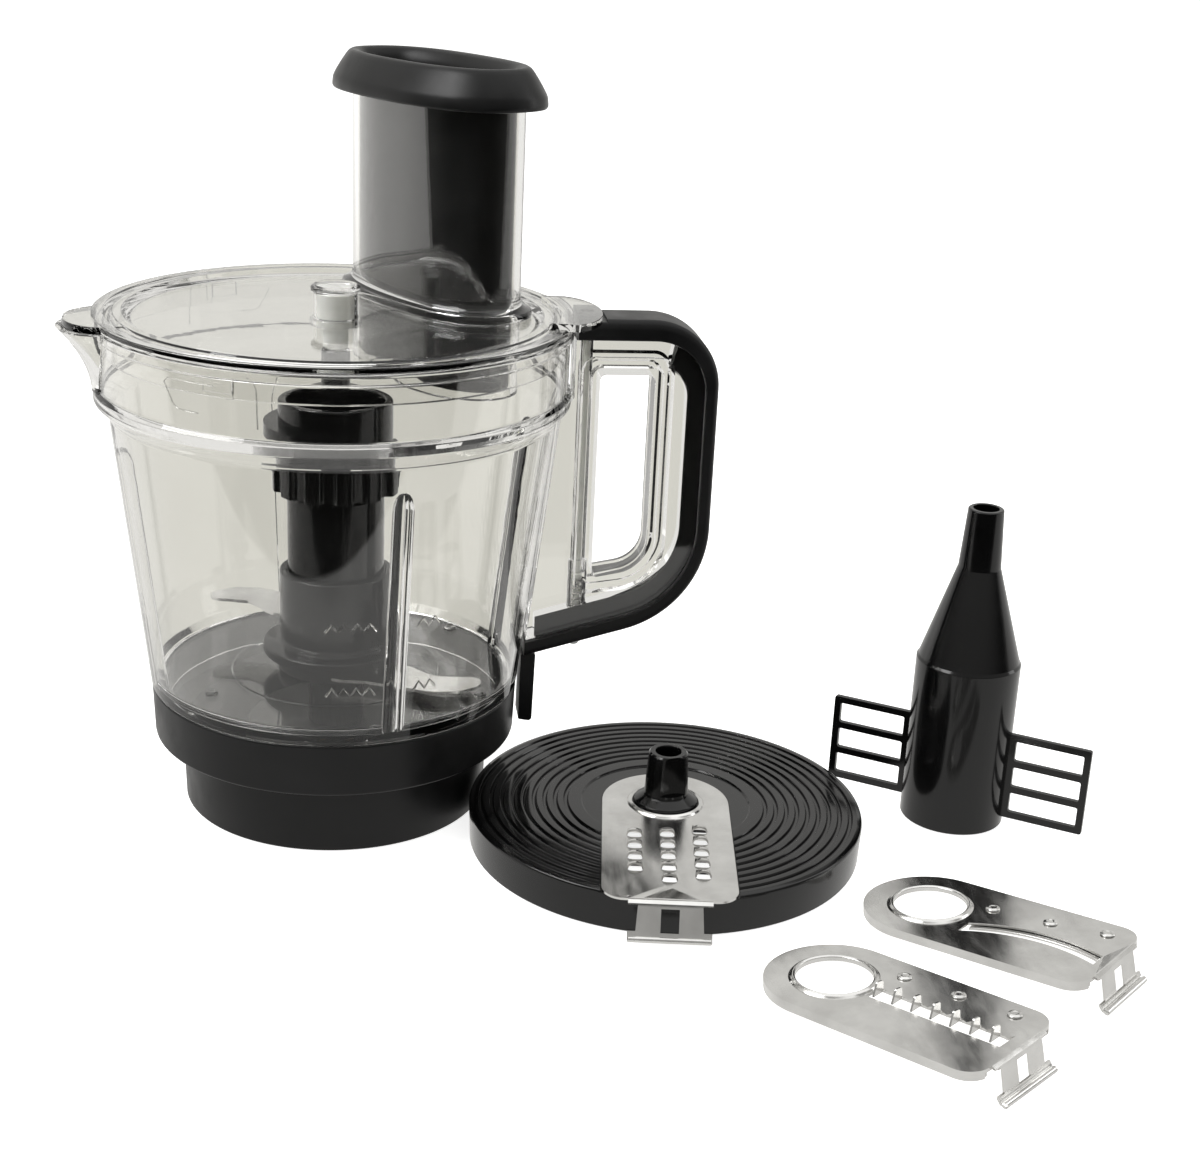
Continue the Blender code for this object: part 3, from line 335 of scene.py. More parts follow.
def joined(*parts):
    """Several shapes in one bmesh."""
    bm = parts[0]
    for part in parts[1:]:
        mesh = bpy.data.meshes.new("part")
        part.to_mesh(mesh)
        part.free()
        bm.from_mesh(mesh)
        bpy.data.meshes.remove(mesh)
    return bm


def moved(bm, x=0.0, y=0.0, z=0.0, turn=0.0):
    bmesh.ops.rotate(bm, matrix=Matrix.Rotation(math.radians(turn), 3, "Z"), verts=bm.verts)
    bmesh.ops.translate(bm, vec=(x * MM, y * MM, z * MM), verts=bm.verts)
    return bm


def circle(r, count=48, at=(0.0, 0.0)):
    return [
        (at[0] + r * math.cos(math.tau * i / count), at[1] + r * math.sin(math.tau * i / count))
        for i in range(count)
    ]


def arc(centre, r, start, end, steps):
    turns = [math.radians(start + (end - start) * i / steps) for i in range(steps + 1)]
    return [(centre[0] + r * math.cos(a), centre[1] + r * math.sin(a)) for a in turns]


def oval(long, short, count=96, power=2.4):
    """A superellipse, fuller than an ellipse, as the feed tube is."""
    points = []
    for i in range(count):
        c = math.cos(math.tau * i / count)
        s = math.sin(math.tau * i / count)
        x = long * math.copysign(abs(c) ** (2.0 / power), c)
        y = short * math.copysign(abs(s) ** (2.0 / power), s)
        points.append((x, y))
    return points


def level(points, z):
    return [(x, y, z) for x, y in points]


def ovals(steps):
    """Oval rings of (long, short, height)."""
    return [level(oval(long, short), z) for long, short, z in steps]


# ---------------------------------------------------------------- pieces


def mesh_object(name, bm):
    bmesh.ops.remove_doubles(bm, verts=bm.verts, dist=1e-7)
    bmesh.ops.recalc_face_normals(bm, faces=bm.faces)
    mesh = bpy.data.meshes.new(name)
    bm.to_mesh(mesh)
    bm.free()
    obj = bpy.data.objects.new(name, mesh)
    bpy.context.scene.collection.objects.link(obj)
    return obj


def combine(obj, tools):
    """Cut or add each (operation, shape) with an exact Boolean, and keep the result."""
    helpers = []
    for operation, bm in tools:
        helper = mesh_object("helper", bm)
        helpers.append(helper)
        modifier = obj.modifiers.new("combine", "BOOLEAN")
        modifier.operation = operation
        modifier.solver = "EXACT"
        modifier.object = helper
    graph = bpy.context.evaluated_depsgraph_get()
    made = bpy.data.meshes.new_from_object(obj.evaluated_get(graph))
    obj.modifiers.clear()
    obj.data = made
    for helper in helpers:
        bpy.data.objects.remove(helper)


def piece(name, bm, look, body, place, *nodes, tools=(), bevel=0.0, angle=32.0, rides=True):
    """A named visible piece that rides a body and stands for CAD nodes."""
    obj = mesh_object(name, bm)
    if tools:
        combine(obj, tools)
    obj.data.transform(place)
    obj.data.materials.clear()
    obj.data.materials.append(LOOKS[look])
    if bevel:
        modifier = obj.modifiers.new("edges", "BEVEL")
        modifier.width = bevel * MM
        modifier.segments = 3
        modifier.limit_method = "ANGLE"
        modifier.angle_limit = math.radians(35.0)
        modifier.use_clamp_overlap = True
    obj.data.shade_smooth()
    obj.data.set_sharp_from_angle(angle=math.radians(angle if not bevel else 60.0))
    flat = obj.modifiers.new("flat_faces", "WEIGHTED_NORMAL")
    flat.mode = "FACE_AREA"
    flat.weight = 100
    flat.keep_sharp = True
    if rides:
        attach(obj, body)
    if nodes:
        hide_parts(*nodes)
    return obj


# ---------------------------------------------------------------- drive housing

FOOT_R = 66.2
RING_R = 78.5
RING_TOP = 53.7


def housing():
    profile = [
        (FOOT_R - 0.9, 0.0, 0.8), (FOOT_R - 0.1, 28.2), (FOOT_R + 0.4, 29.6, 0.6),
        (FOOT_R + 0.4, 31.2), (RING_R - 0.8, 31.2, 1.4), (RING_R + 0.1, RING_TOP, 1.0),
        (RING_R - 2.4, RING_TOP), (RING_R - 3.0, 33.7), (FOOT_R - 2.4, 33.7), (FOOT_R - 3.0, 0.0),
    ]
    piece("housing_skin", lathe(profile), "black_satin", "bowl_unit", BOWL, "drive_housing")


# ---------------------------------------------------------------- bowl

COLLAR_LOW = 173.0
BOWL_FLOOR = 57.0
RIM_Z = 211.0
SPOUT_TIP_R = 111.6
SPOUT_TURN = 12.0
LID_NOSE_R = 109.2


def wall_r(z):
    """Outer radius of the bowl's tapered wall."""
    return 78.8 + (92.3 - 78.8) * (z - RING_TOP) / (COLLAR_LOW - RING_TOP)


def spout_section(tip_r, root_r, half_angle, z, inner_r):
    """A rounded lobe in plan round 180 degrees, closed on the inside by an arc."""
    half = math.radians(half_angle)
    root = Vector((-root_r * math.cos(half), root_r * math.sin(half)))
    pull = Vector((-tip_r + 0.3, 0.78 * root.y))
    tip = Vector((-tip_r, 0.0))
    side = []
    for i in range(13):
        t = i / 12.0
        point = root * (1.0 - t) ** 2 + pull * 2.0 * t * (1.0 - t) + tip * t * t
        side.append((point.x, point.y))
    mirrored = [(x, -y) for x, y in reversed(side[:-1])]
    inner = arc((0.0, 0.0), inner_r, 180.0 + half_angle, 180.0 - half_angle, 8)
    return level(side + mirrored + inner, z)


def spout(low, high, steps=12):
    """A body between two spout sections that bows outward towards the top, turned to the spout."""
    sections = []
    for i in range(steps + 1):
        t = i / steps
        bow = t ** 1.85
        sections.append([
            (a[0] + (b[0] - a[0]) * bow, a[1] + (b[1] - a[1]) * bow, a[2] + (b[2] - a[2]) * t)
            for a, b in zip(low, high)
        ])
    return moved(loft(sections), turn=SPOUT_TURN)


def wall_rib(azimuth):
    """A hollow-faced bar with a rounded top that leans with the inner face of the wall."""
    half = [(4.5, 1.6), (4.4, -1.6), (3.9, -3.0), (2.9, -3.7), (1.9, -3.4), (1.0, -2.6), (0.0, -2.3)]
    section = half + [(-y, x) for y, x in reversed(half[:-1])]
    sections = []
    for z, scale in ((56.0, 1.0), (154.6, 0.94), (157.6, 0.86), (160.2, 0.7), (161.9, 0.46), (162.6, 0.2)):
        centre = wall_r(z) - 2.7
        sections.append([(centre + x * min(1.0, scale + 0.12), y * scale, z) for y, x in section])
    return moved(loft(sections), turn=azimuth)


def clear_bowl():
    foot_r = RING_R - 3.1
    profile = [
        (13.0, 54.4), (foot_r - 2.5, 54.4), (foot_r - 2.5, 40.0, 0.5), (foot_r, 40.0, 0.5),
        (foot_r, RING_TOP + 0.3), (78.8, RING_TOP + 0.3, 0.6), (92.3, COLLAR_LOW, 3.0),
        (94.6, 176.0, 2.0), (98.0, 179.6, 1.2), (98.0, 183.6, 1.2), (96.6, 185.6, 0.8),
        (96.9, 206.6, 1.0), (98.3, 207.8, 0.5), (98.3, RIM_Z, 0.6), (95.0, RIM_Z, 0.6),
        (94.6, 184.0, 2.0), (89.6, 175.0, 3.0),
        (wall_r(61.0) - 2.7, 61.0, 3.0),
        (wall_r(57.0) - 6.0, BOWL_FLOOR, 2.0),
        (45.0, BOWL_FLOOR, 0.4), (44.2, BOWL_FLOOR + 0.35, 0.3), (13.6, BOWL_FLOOR, 1.5),
        (12.0, 60.0, 1.0), (12.0, 82.0, 1.0), (9.3, 82.0, 0.4), (9.3, 54.4),
    ]
    low = spout_section(98.6, 97.0, 5.0, 184.5, 95.6)
    high = spout_section(SPOUT_TIP_R, 97.5, 12.0, RIM_Z, 96.0)
    hollow_low = spout_section(95.4, 94.0, 4.0, 186.5, 85.0)
    hollow_high = spout_section(SPOUT_TIP_R - 2.4, 95.0, 10.0, RIM_Z + 0.6, 85.0)
    tools = [("UNION", spout(low, high)), ("DIFFERENCE", spout(hollow_low, hollow_high))]
    tools += [("UNION", wall_rib(azimuth)) for azimuth in (-163.0, -73.0, 17.0, 107.0)]
    bowl = lathe(profile)
    piece("clear_bowl", bowl, "clear_plastic", "bowl_unit", BOWL, "bowl_shell", tools=tools, angle=40.0)


# Raised lines inside the collar, as (azimuth, height)
TRACK_R = 94.9
TRACK_WIRE_R = 0.3
TRACK_TURNS = (0.0, 120.0, 240.0)
TRACKS = (
    (
        (-118.0, 203.6), (-124.0, 203.8), (-130.5, 203.6), (-131.6, 202.0), (-129.0, 194.0),
        (-127.5, 192.4), (-122.0, 192.2),
    ),
    ((-112.9, 207.6), (-113.1, 199.6), (-114.6, 199.4)),
    ((-109.6, 208.4), (-108.2, 206.6), (-107.6, 204.0), (-107.4, 189.0)),
)


def polar(r, azimuth):
    return r * math.cos(math.radians(azimuth)), r * math.sin(math.radians(azimuth))


def collar_tracks():
    """Raised lines inside the collar that guide the lid's lugs as the lid is turned."""
    parts = []
    for turn in TRACK_TURNS:
        for track in TRACKS:
            line = [(*polar(TRACK_R, azimuth), z) for azimuth, z in track]
            parts.append(moved(pipe(line, TRACK_WIRE_R, 6), turn=turn))
    piece("collar_tracks", joined(*parts), "clear_plastic", "bowl_unit", BOWL)


def level_waves():
    """Two rows of embossed waves on the wall, which mark the lowest and highest fill."""
    parts = []
    for z in (78.2, 106.6):
        for start, sweep, crests in ((-93.0, 14.0, 4), (-67.5, 7.0, 2)):
            steps = 4 * crests
            points = []
            for i in range(steps + 1):
                azimuth = math.radians(start + sweep * i / steps)
                r = wall_r(z) - 2.6
                up = 1.7 * (1.0 if i % 4 == 2 else -1.0 if i % 4 == 0 else 0.0)
                points.append((r * math.cos(azimuth), r * math.sin(azimuth), z + up))
            parts.append(pipe(points, 0.5, 6))
    piece("level_waves", joined(*parts), "clear_plastic", "bowl_unit", BOWL)


# Small marks on the bowl's floor, as (azimuth, radius)
PIPS = ((-150.3, 59.0), (-106.0, 70.2), (-77.0, 69.2), (-30.0, 69.0), (40.0, 69.0), (100.0, 69.0))


def floor_pips():
    """Low round bosses on the bowl's floor."""
    parts = []
    for azimuth, r in PIPS:
        x, y = polar(r, azimuth)
        pip = [(0.0, 56.6), (2.6, 56.6), (2.6, 57.9, 0.6), (1.4, 58.2, 0.4), (1.2, 57.6, 0.2), (0.0, 57.6)]
        parts.append(moved(lathe(pip, 24), x, y))
    piece("floor_pips", joined(*parts), "clear_plastic", "bowl_unit", BOWL)


# ---------------------------------------------------------------- handle

HANDLE_TOP = 214.3
HANDLE_OUTER = 160.0
HANDLE_LOW_X = 81.2
HANDLE_LOW_Z = 64.4
HANDLE_SLOPE = 0.279
STRAP_DEPTH = 6.5
SIDE_SHARE = 0.84
TOP_SHARE = 1.32
WEB_DEPTH = 15.0
COLUMN_X = 98.9
STEP_X = 111.3
ROD_X = 104.0
FINGER_IN = 109.5
FINGER_OUT = 133.0
FINGER_LOW = 100.5
FINGER_TOP = 190.6


def handle_path(inset, start_x, end_x):
    """The handle's outer line, set in by a distance: low end, outer side, top end."""
    length = math.hypot(1.0, HANDLE_SLOPE)
    outer_x = HANDLE_OUTER - SIDE_SHARE * inset
    top_z = HANDLE_TOP - TOP_SHARE * inset

    def low_z(x):
        return HANDLE_LOW_Z + (x - HANDLE_LOW_X) * HANDLE_SLOPE + inset * length

    low_r = 48.0 - inset
    lean = math.degrees(math.atan(HANDLE_SLOPE))
    centre = (outer_x - low_r, low_z(outer_x - low_r) + low_r * length)
    top_r = 29.0 - inset
    path = [(start_x, low_z(start_x))]
    path += arc(centre, low_r, lean - 90.0, 0.0, 24)
    path += arc((outer_x - top_r, top_z - top_r), top_r, 0.0, 90.0, 20)
    return path + [(end_x, top_z)]


def along_handle(section, start_x, end_x, left_out=0):
    """A closed section of (inset, y) points swept along the handle, short of its last few steps."""
    paths = [handle_path(inset, start_x, end_x) for inset, _ in section]
    paths = [path[: len(path) - left_out] for path in paths]
    sections = []
    for k in range(len(paths[0])):
        sections.append([(path[k][0], y, path[k][1]) for path, (_, y) in zip(paths, section)])
    return loft(sections)


WEB_START_X = 86.0
WEB_LEFT_OUT = 7


def strap():
    half = 12.0
    cap = [
        (0.0, -half, 5.2), (0.0, half, 5.2), (STRAP_DEPTH, half, 0.5), (STRAP_DEPTH, -half, 0.5),
    ]
    body = along_handle(rounded(cap, 8), HANDLE_LOW_X, COLUMN_X + 0.4)
    hidden = STRAP_DEPTH - 1.0
    web = along_handle(
        rounded([(hidden, -5.0), (hidden, 5.0), (WEB_DEPTH, 5.0, 1.0), (WEB_DEPTH, -5.0, 1.0)]),
        WEB_START_X,
        STEP_X,
        WEB_LEFT_OUT,
    )
    recess = upright([(90.0, 213.3), (STEP_X, 213.3), (STEP_X + 0.6, 220.0), (90.0, 220.0)], 40.0)
    hole = prism(circle(2.8, 24, (ROD_X, 0.0)), 50.0, 220.0)
    tools = [("UNION", web), ("DIFFERENCE", recess), ("DIFFERENCE", hole)]
    piece("handle_cap", body, "black_satin", "bowl_unit", BOWL, "handle_strap", tools=tools, angle=40.0)


def finger_outline(grow):
    """The finger opening, grown by a distance."""
    corner = 15.0 + grow
    low_y = FINGER_LOW - grow
    outline = [
        (FINGER_IN - grow, FINGER_TOP + grow, 2.5 + grow * 0.5),
        (FINGER_IN - grow, low_y, 2.0 + grow * 0.5), (FINGER_OUT + grow, low_y + 4.5, corner),
        (FINGER_OUT + grow, FINGER_TOP + grow, 3.0 + grow * 0.5),
    ]
    return rounded(outline, 10)


def clear_handle():
    """The clear D with its rolled lip round the finger opening."""
    inset = STRAP_DEPTH + 0.3
    outline = handle_path(inset, wall_r(76.0) + 0.6, COLUMN_X)
    outline += [(COLUMN_X, 181.0), (wall_r(172.0) + 1.4, 172.0)]
    near, far = STRAP_DEPTH - 2.0, WEB_DEPTH + 0.3
    groove = along_handle(
        [(near, -5.3), (near, 5.3), (far, 5.3), (far, -5.3)],
        WEB_START_X - 0.3,
        STEP_X,
        WEB_LEFT_OUT - 1,
    )
    tools = [("DIFFERENCE", groove)]
    tools.append(("DIFFERENCE", prism(circle(2.8, 24, (ROD_X, 0.0)), 60.0, 215.0)))
    tools.append(("DIFFERENCE", prism(circle(4.2, 24, (ROD_X, 0.0)), 83.0, 107.0)))
    for side in (-1.0, 1.0):
        tools.append(("DIFFERENCE", lip_dish(side)))
    shape = upright(outline, 18.6, [finger_outline(0.0)])
    piece("clear_handle", shape, "clear_plastic", "bowl_unit", BOWL, "handle_frame", tools=tools, angle=40.0)


def lip_dish(side):
    """A shallow dish in one face, which leaves a raised lip round the finger opening."""
    outer = finger_outline(8.0)
    outer_low = finger_outline(6.8)
    inner = finger_outline(3.0)
    inner_low = finger_outline(4.0)
    face = 9.4
    depth = 7.2
    sections = []
    for loop, y in ((outer, face), (outer_low, depth), (inner_low, depth), (inner, face)):
        sections.append([(x, side * y, z) for x, z in loop])
    return loft(sections, capped=False)


def guide():
    outline = rounded([(79.9, 33.0, 0.8), (85.9, 32.0, 1.5), (86.7, 64.0, 0.6), (80.3, 64.0, 0.6)])
    block = upright(outline, 14.0)
    piece("guide_block", block, "black_satin", "bowl_unit", BOWL, "interlock_guide", bevel=0.9)


def push_rod():
    profile = [
        (0.0, 66.5), (2.3, 66.5, 0.8), (2.3, 98.3), (3.8, 98.3, 0.3), (3.8, 100.3, 0.3),
        (2.3, 100.3), (2.3, 212.3, 1.0), (0.0, 212.3),
    ]
    place = BOWL @ standing(0.104, 0.0)
    piece("push_rod", lathe(profile, 24), "natural_plastic", "interlock", place, "interlock_rod")
    points = []
    for i in range(241):
        a = math.tau * 5.0 * i / 240.0
        points.append((3.3 * math.cos(a), 3.3 * math.sin(a), 84.4 + 13.2 * i / 240.0))
    coil = pipe(points, 0.4, 8)
    spring = piece(
        "return_spring", coil, "stainless_steel", "interlock", place, "interlock_spring", rides=False
    )
    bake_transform(spring)


# ---------------------------------------------------------------- blade tool


def hub():
    core = [
        (13.5, 58.2, 0.5), (25.0, 58.2, 1.2), (25.0, 65.9, 0.3), (31.3, 65.6, 1.0),
        (31.3, 69.9, 1.0), (25.4, 70.7, 0.5), (25.0, 71.9, 0.4), (23.9, 72.3, 0.5),
        (23.9, 102.9, 1.2), (21.4, 102.4, 0.5), (20.4, 101.6, 0.4), (20.4, 136.6, 0.6),
        (17.6, 137.8), (17.6, 158.0), (0.0, 158.0), (0.0, 97.0), (5.3, 97.0), (5.3, 84.0),
        (13.5, 84.0),
    ]
    piece("tool_hub", lathe(core, 96), "black_gloss", "blade_tool", BOWL, "blade_hub")
    flutes = []
    for flute in range(12):
        start = 30.0 * flute
        flutes += arc((0.0, 0.0), 26.5, start + 0.8, start + 15.2, 4)
        flutes += arc((0.0, 0.0), 24.2, start + 18.0, start + 28.0, 3)
    grip = prism(flutes, 138.4, 158.0, [circle(17.9, 72)])
    piece("tool_grip", grip, "black_gloss", "blade_tool", BOWL, "hub_grip", bevel=0.6)
    cup = [
        (0.0, 158.3), (24.0, 158.3, 1.0), (24.0, 177.5, 1.0), (20.5, 177.5, 0.9),
        (20.5, 161.0, 1.0), (0.0, 161.0),
    ]
    ledge = arc((0.0, 0.0), 30.0, 95.0, 265.0, 40) + arc((0.0, 0.0), 22.5, 265.0, 95.0, 40)
    tools = [("UNION", prism(ledge, 162.0, 167.5))]
    for azimuth in (20.0, 140.0, 260.0):
        key = [(19.0, -1.2), (21.0, -1.2), (21.0, 1.2), (19.0, 1.2)]
        tools.append(("UNION", moved(prism(key, 160.5, 176.4), turn=azimuth)))
    piece("tool_cup", lathe(cup, 96), "black_gloss", "blade_tool", BOWL, "hub_cup", tools=tools)
    post = [
        (0.0, 161.3), (8.0, 161.3, 0.8), (6.0, 165.0, 1.5), (6.0, 196.0, 0.8), (3.0, 196.0, 0.4),
        (3.0, 202.5, 0.8), (0.0, 203.0),
    ]
    piece("tool_post", lathe(post, SMALL), "black_gloss", "blade_tool", BOWL, "centre_post")


BLADE_LEAD = (
    (23.6, -104.0), (27.0, -86.0), (30.5, -67.0), (37.0, -58.5), (44.3, -51.7), (51.0, -48.5),
    (57.0, -45.5), (64.6, -38.5), (68.4, -31.0),
)
BLADE_TRAIL = (
    (24.0, -20.0), (31.0, -20.0), (35.0, -22.0), (41.5, -27.5), (48.0, -29.5), (55.0, -26.5),
    (62.5, -23.5), (66.3, -24.0), (68.4, -27.5),
)


def blade_outline():
    """A collar inside the hub with one crescent wing, given by radius and azimuth, and a blunt tip."""
    wing = []
    for r, azimuth in BLADE_LEAD + BLADE_TRAIL[::-1]:
        turn = math.radians(azimuth)
        wing.append((r * math.cos(turn), r * math.sin(turn), 4.0))
    collar = [(x, y, 0.0) for x, y in arc((0.0, 0.0), 22.6, -8.0, 244.0, 60)]
    return rounded(wing + collar, 6)


def tool_blades():
    for name, node, low, turn in (
        ("blade_low", "lower_blade", 60.2, 0.0),
        ("blade_high", "upper_blade", 75.0, 172.0),
    ):
        shape = moved(prism(blade_outline(), low, low + 1.4, [circle(20.3, 72)]), turn=turn)
        piece(name, shape, "stainless_steel", "blade_tool", BOWL, node, bevel=0.55)


# ---------------------------------------------------------------- lid and pusher


def lid():
    top = 214.6
    plate = 211.8
    profile = [
        (9.4, plate), (82.0, plate, 1.0), (84.0, plate + 1.6, 0.8), (85.6, top, 0.8),
        (89.0, top, 0.4), (89.8, top - 0.7, 0.3), (92.2, top - 0.7, 0.3), (93.0, top, 0.4),
        (97.9, top - 0.2, 1.2), (97.9, 211.4, 0.5), (92.6, 211.4), (92.6, 198.5, 0.5),
        (90.6, 198.5, 0.5), (90.6, 209.4, 1.0), (9.4, 209.4),
    ]
    cover_low = spout_section(LID_NOSE_R, 97.0, 12.0, 211.4, 88.0)
    cover_high = spout_section(LID_NOSE_R - 0.6, 96.6, 12.0, 214.3, 88.0)
    cover = spout(cover_low, cover_high, 4)
    tab = arc((0.0, 0.0), 90.0, 15.0, -19.5, 10)
    for i in range(29):
        turn = math.radians(-75.0 + 150.0 * i / 28.0)
        tab.append((92.0 + 17.4 * math.cos(turn), -5.0 + 28.5 * math.sin(turn)))
    seat = [
        (tab_x, tab_y) for tab_x, tab_y in oval(55.3, 27.9)
    ]
    tools = [
        ("UNION", cover),
        ("UNION", prism(tab, 213.8, 216.9)),
        ("DIFFERENCE", moved(prism(oval(50.3, 23.3), 200.0, 220.0), 42.0, 35.0, turn=121.5)),
        ("DIFFERENCE", moved(prism(seat, plate - 0.01, 220.0), 42.0, 35.0, turn=121.5)),
    ]
    for azimuth in (-117.6, 2.4, 122.4):
        lug = rounded([(90.8, -6.2, 0.0), (93.8, -6.2, 1.4), (93.8, 6.2, 1.4), (90.8, 6.2, 0.0)])
        tools.append(("UNION", moved(prism(lug, 200.9, 206.4), turn=azimuth)))
    piece("clear_lid", lathe(profile), "clear_plastic", "lid", BOWL, "lid_shell", tools=tools, angle=40.0)


def socket():
    profile = [
        (7.9, 206.2, 0.3), (10.6, 206.2, 0.5), (10.6, 209.1, 0.4), (9.0, 209.1, 0.6),
        (9.0, 221.6, 0.8), (10.2, 222.6, 0.5), (10.2, 224.2, 0.5), (8.8, 225.0, 0.4), (0.0, 224.6),
        (0.0, 222.6), (7.9, 222.6, 0.3),
    ]
    piece("socket_cap", lathe(profile, MEDIUM), "clear_plastic", "lid", BOWL, "lid_socket")
    sleeve = [
        (3.2, 196.6, 0.2), (5.2, 196.6, 0.4), (5.2, 205.5, 0.5), (7.6, 205.5, 0.4),
        (7.6, 222.0, 0.6), (0.0, 222.0), (0.0, 204.5), (3.2, 204.5),
    ]
    piece("socket_sleeve", lathe(sleeve, MEDIUM), "natural_plastic", "lid", BOWL, "lid_bearing")


def tube():
    """Oval tube above the lid, with its foot ring and the chute below."""
    steps = [
        (50.0, 23.0, 179.6), (50.0, 23.0, 212.1), (54.4, 27.0, 212.1), (55.0, 27.6, 212.6),
        (55.0, 27.6, 214.2), (54.4, 27.0, 215.2), (53.0, 25.8, 215.6), (51.6, 24.5, 216.4),
        (50.6, 23.6, 217.6), (50.1, 23.1, 219.4), (50.0, 23.0, 222.0), (50.0, 23.0, 296.0),
        (49.4, 22.4, 296.8), (48.1, 21.1, 296.8), (47.5, 20.5, 296.2), (47.5, 20.5, 179.6),
        (48.2, 21.2, 179.0), (49.4, 22.4, 179.0),
    ]
    piece("feed_chute", loft(ovals(steps), capped=False), "clear_plastic", "lid", TUBE, "feed_tube")


PUSHER_LOW = 182.0


def pusher():
    steps = [
        (20.0, 3.0, PUSHER_LOW), (44.4, 17.4, PUSHER_LOW), (45.7, 18.7, PUSHER_LOW + 0.3),
        (46.3, 19.3, PUSHER_LOW + 1.2), (46.5, 19.5, PUSHER_LOW + 2.5), (46.5, 19.5, 297.0),
        (44.3, 17.3, 297.0), (44.3, 17.3, PUSHER_LOW + 4.4), (43.0, 16.0, PUSHER_LOW + 3.0),
        (20.0, 3.0, PUSHER_LOW + 3.0),
    ]
    piece("pusher_cup", loft(ovals(steps)), "black_soft", "pusher", TUBE, "pusher_body")
    rings = [
        (43.4, 16.4, 297.4), (55.5, 28.5, 297.4), (57.0, 30.0, 297.1), (58.2, 31.3, 297.3),
        (58.6, 31.8, 298.0), (58.6, 31.8, 299.0), (58.3, 31.5, 301.6), (57.6, 30.8, 303.2),
        (56.2, 29.5, 305.6), (54.2, 27.8, 308.6), (52.4, 26.3, 311.0), (51.2, 25.3, 312.3),
        (50.0, 24.2, 312.95), (48.6, 22.8, 313.0), (47.2, 21.4, 312.7), (46.0, 20.2, 311.8),
        (44.6, 18.8, 310.0), (43.6, 17.6, 307.6), (43.4, 17.2, 304.0),
    ]
    piece("pusher_rim", loft(ovals(rings), capped=False), "black_satin", "pusher", TUBE, "pusher_flange")


# ---------------------------------------------------------------- disc and inserts

DISC_R = 83.6
DISC_HIGH = 16.9
SEAT_Z = 15.5
INSERT_LENGTH = 79.0


def insert_outline(half, head_r, length, corner=9.0):
    """Round at the hub end and square at the tab end, along +X."""
    points = arc((0.0, 0.0), head_r, 90.0, 270.0, 40)
    points += arc((length - corner, -half + corner), corner, -90.0, 0.0, 10)
    points += arc((length - corner, half - corner), corner, 0.0, 90.0, 10)
    return points


def insert_tab(reach, drop, thick=0.9):
    """The leg that bends down at the tab end."""
    length = INSERT_LENGTH
    line = [
        (length - 3.0, 0.0), (length + 0.2, -0.1), (length + 1.4, -0.9), (length + 1.8, -2.2),
        (length + reach - 0.4, -drop + 2.6), (length + reach + 0.4, -drop + 1.4),
        (length + reach + 2.6, -drop + 0.9),
    ]
    under = []
    for k, (x, z) in enumerate(line):
        before = Vector(line[max(k - 1, 0)])
        after = Vector(line[min(k + 1, len(line) - 1)])
        along = (after - before).normalized()
        under.append((x + along.y * thick, z - along.x * thick))
    bm = upright(line + under[::-1], 33.0)
    return bm


def insert_tab_tools(reach, drop, x=0.0, z=0.0):
    """The window in the leg and the slanted sides above it."""
    length = INSERT_LENGTH
    window = prism([(-4.5, -3.6), (4.5, -3.6), (4.5, 3.6), (-4.5, 3.6)], -6.0, 6.0)
    bmesh.ops.rotate(window, matrix=Matrix.Rotation(math.radians(80.0), 3, "Y"), verts=window.verts)
    moved(window, length + reach * 0.6 + x, 0.0, -drop * 0.5 + z)
    sides = []
    for side in (-1.0, 1.0):
        corners = ((0.0, 12.2), (0.0, 20.0), (12.0, 20.0), (12.0, 14.2))
        wedge = prism([(along, side * out) for along, out in corners], -drop + 3.2, -1.4)
        sides.append(("DIFFERENCE", moved(wedge, length - 1.0 + x, 0.0, z)))
    return [("DIFFERENCE", window)] + sides


def lip_bar(reach, drop, x=0.0, z=0.0):
    length = INSERT_LENGTH
    centre = (length + reach + 1.6 + x, -drop + 0.8 + z)
    return pipe([(centre[0], -16.0 + 32.0 * i / 8.0, centre[1]) for i in range(9)], 1.25, 12)


def grooved_disc():
    profile = [
        (9.0, DISC_HIGH - 3.0), (DISC_R - 2.4, DISC_HIGH - 3.0), (DISC_R - 2.4, 0.2),
        (DISC_R - 0.6, 0.2, 0.5), (DISC_R, DISC_HIGH - 1.8), (DISC_R - 0.4, DISC_HIGH - 0.5, 0.8),
        (DISC_R - 2.2, DISC_HIGH, 0.6),
    ]
    r = 79.6
    while r > 40.0:
        profile += [
            (r, DISC_HIGH, 0.25), (r - 0.5, DISC_HIGH - 1.1, 0.35),
            (r - 1.6, DISC_HIGH - 1.1, 0.35), (r - 2.1, DISC_HIGH, 0.25),
        ]
        r -= 4.5
    profile += [(36.0, DISC_HIGH, 0.25), (35.5, DISC_HIGH - 0.8, 0.3), (9.0, DISC_HIGH - 0.8)]
    seat = insert_outline(27.3, 27.3, 100.0)
    chute = [(22.0, -19.5), (77.5, -23.0), (77.5, 23.0), (22.0, 19.5)]
    tools = [
        ("DIFFERENCE", prism(seat, SEAT_Z, DISC_HIGH + 2.0)),
        ("DIFFERENCE", prism(chute, 10.0, DISC_HIGH + 2.0)),
    ]
    piece("disc_plate", lathe(profile, 160, 2), "black_gloss", "disc", DISC, "grooved_disc", tools=tools)


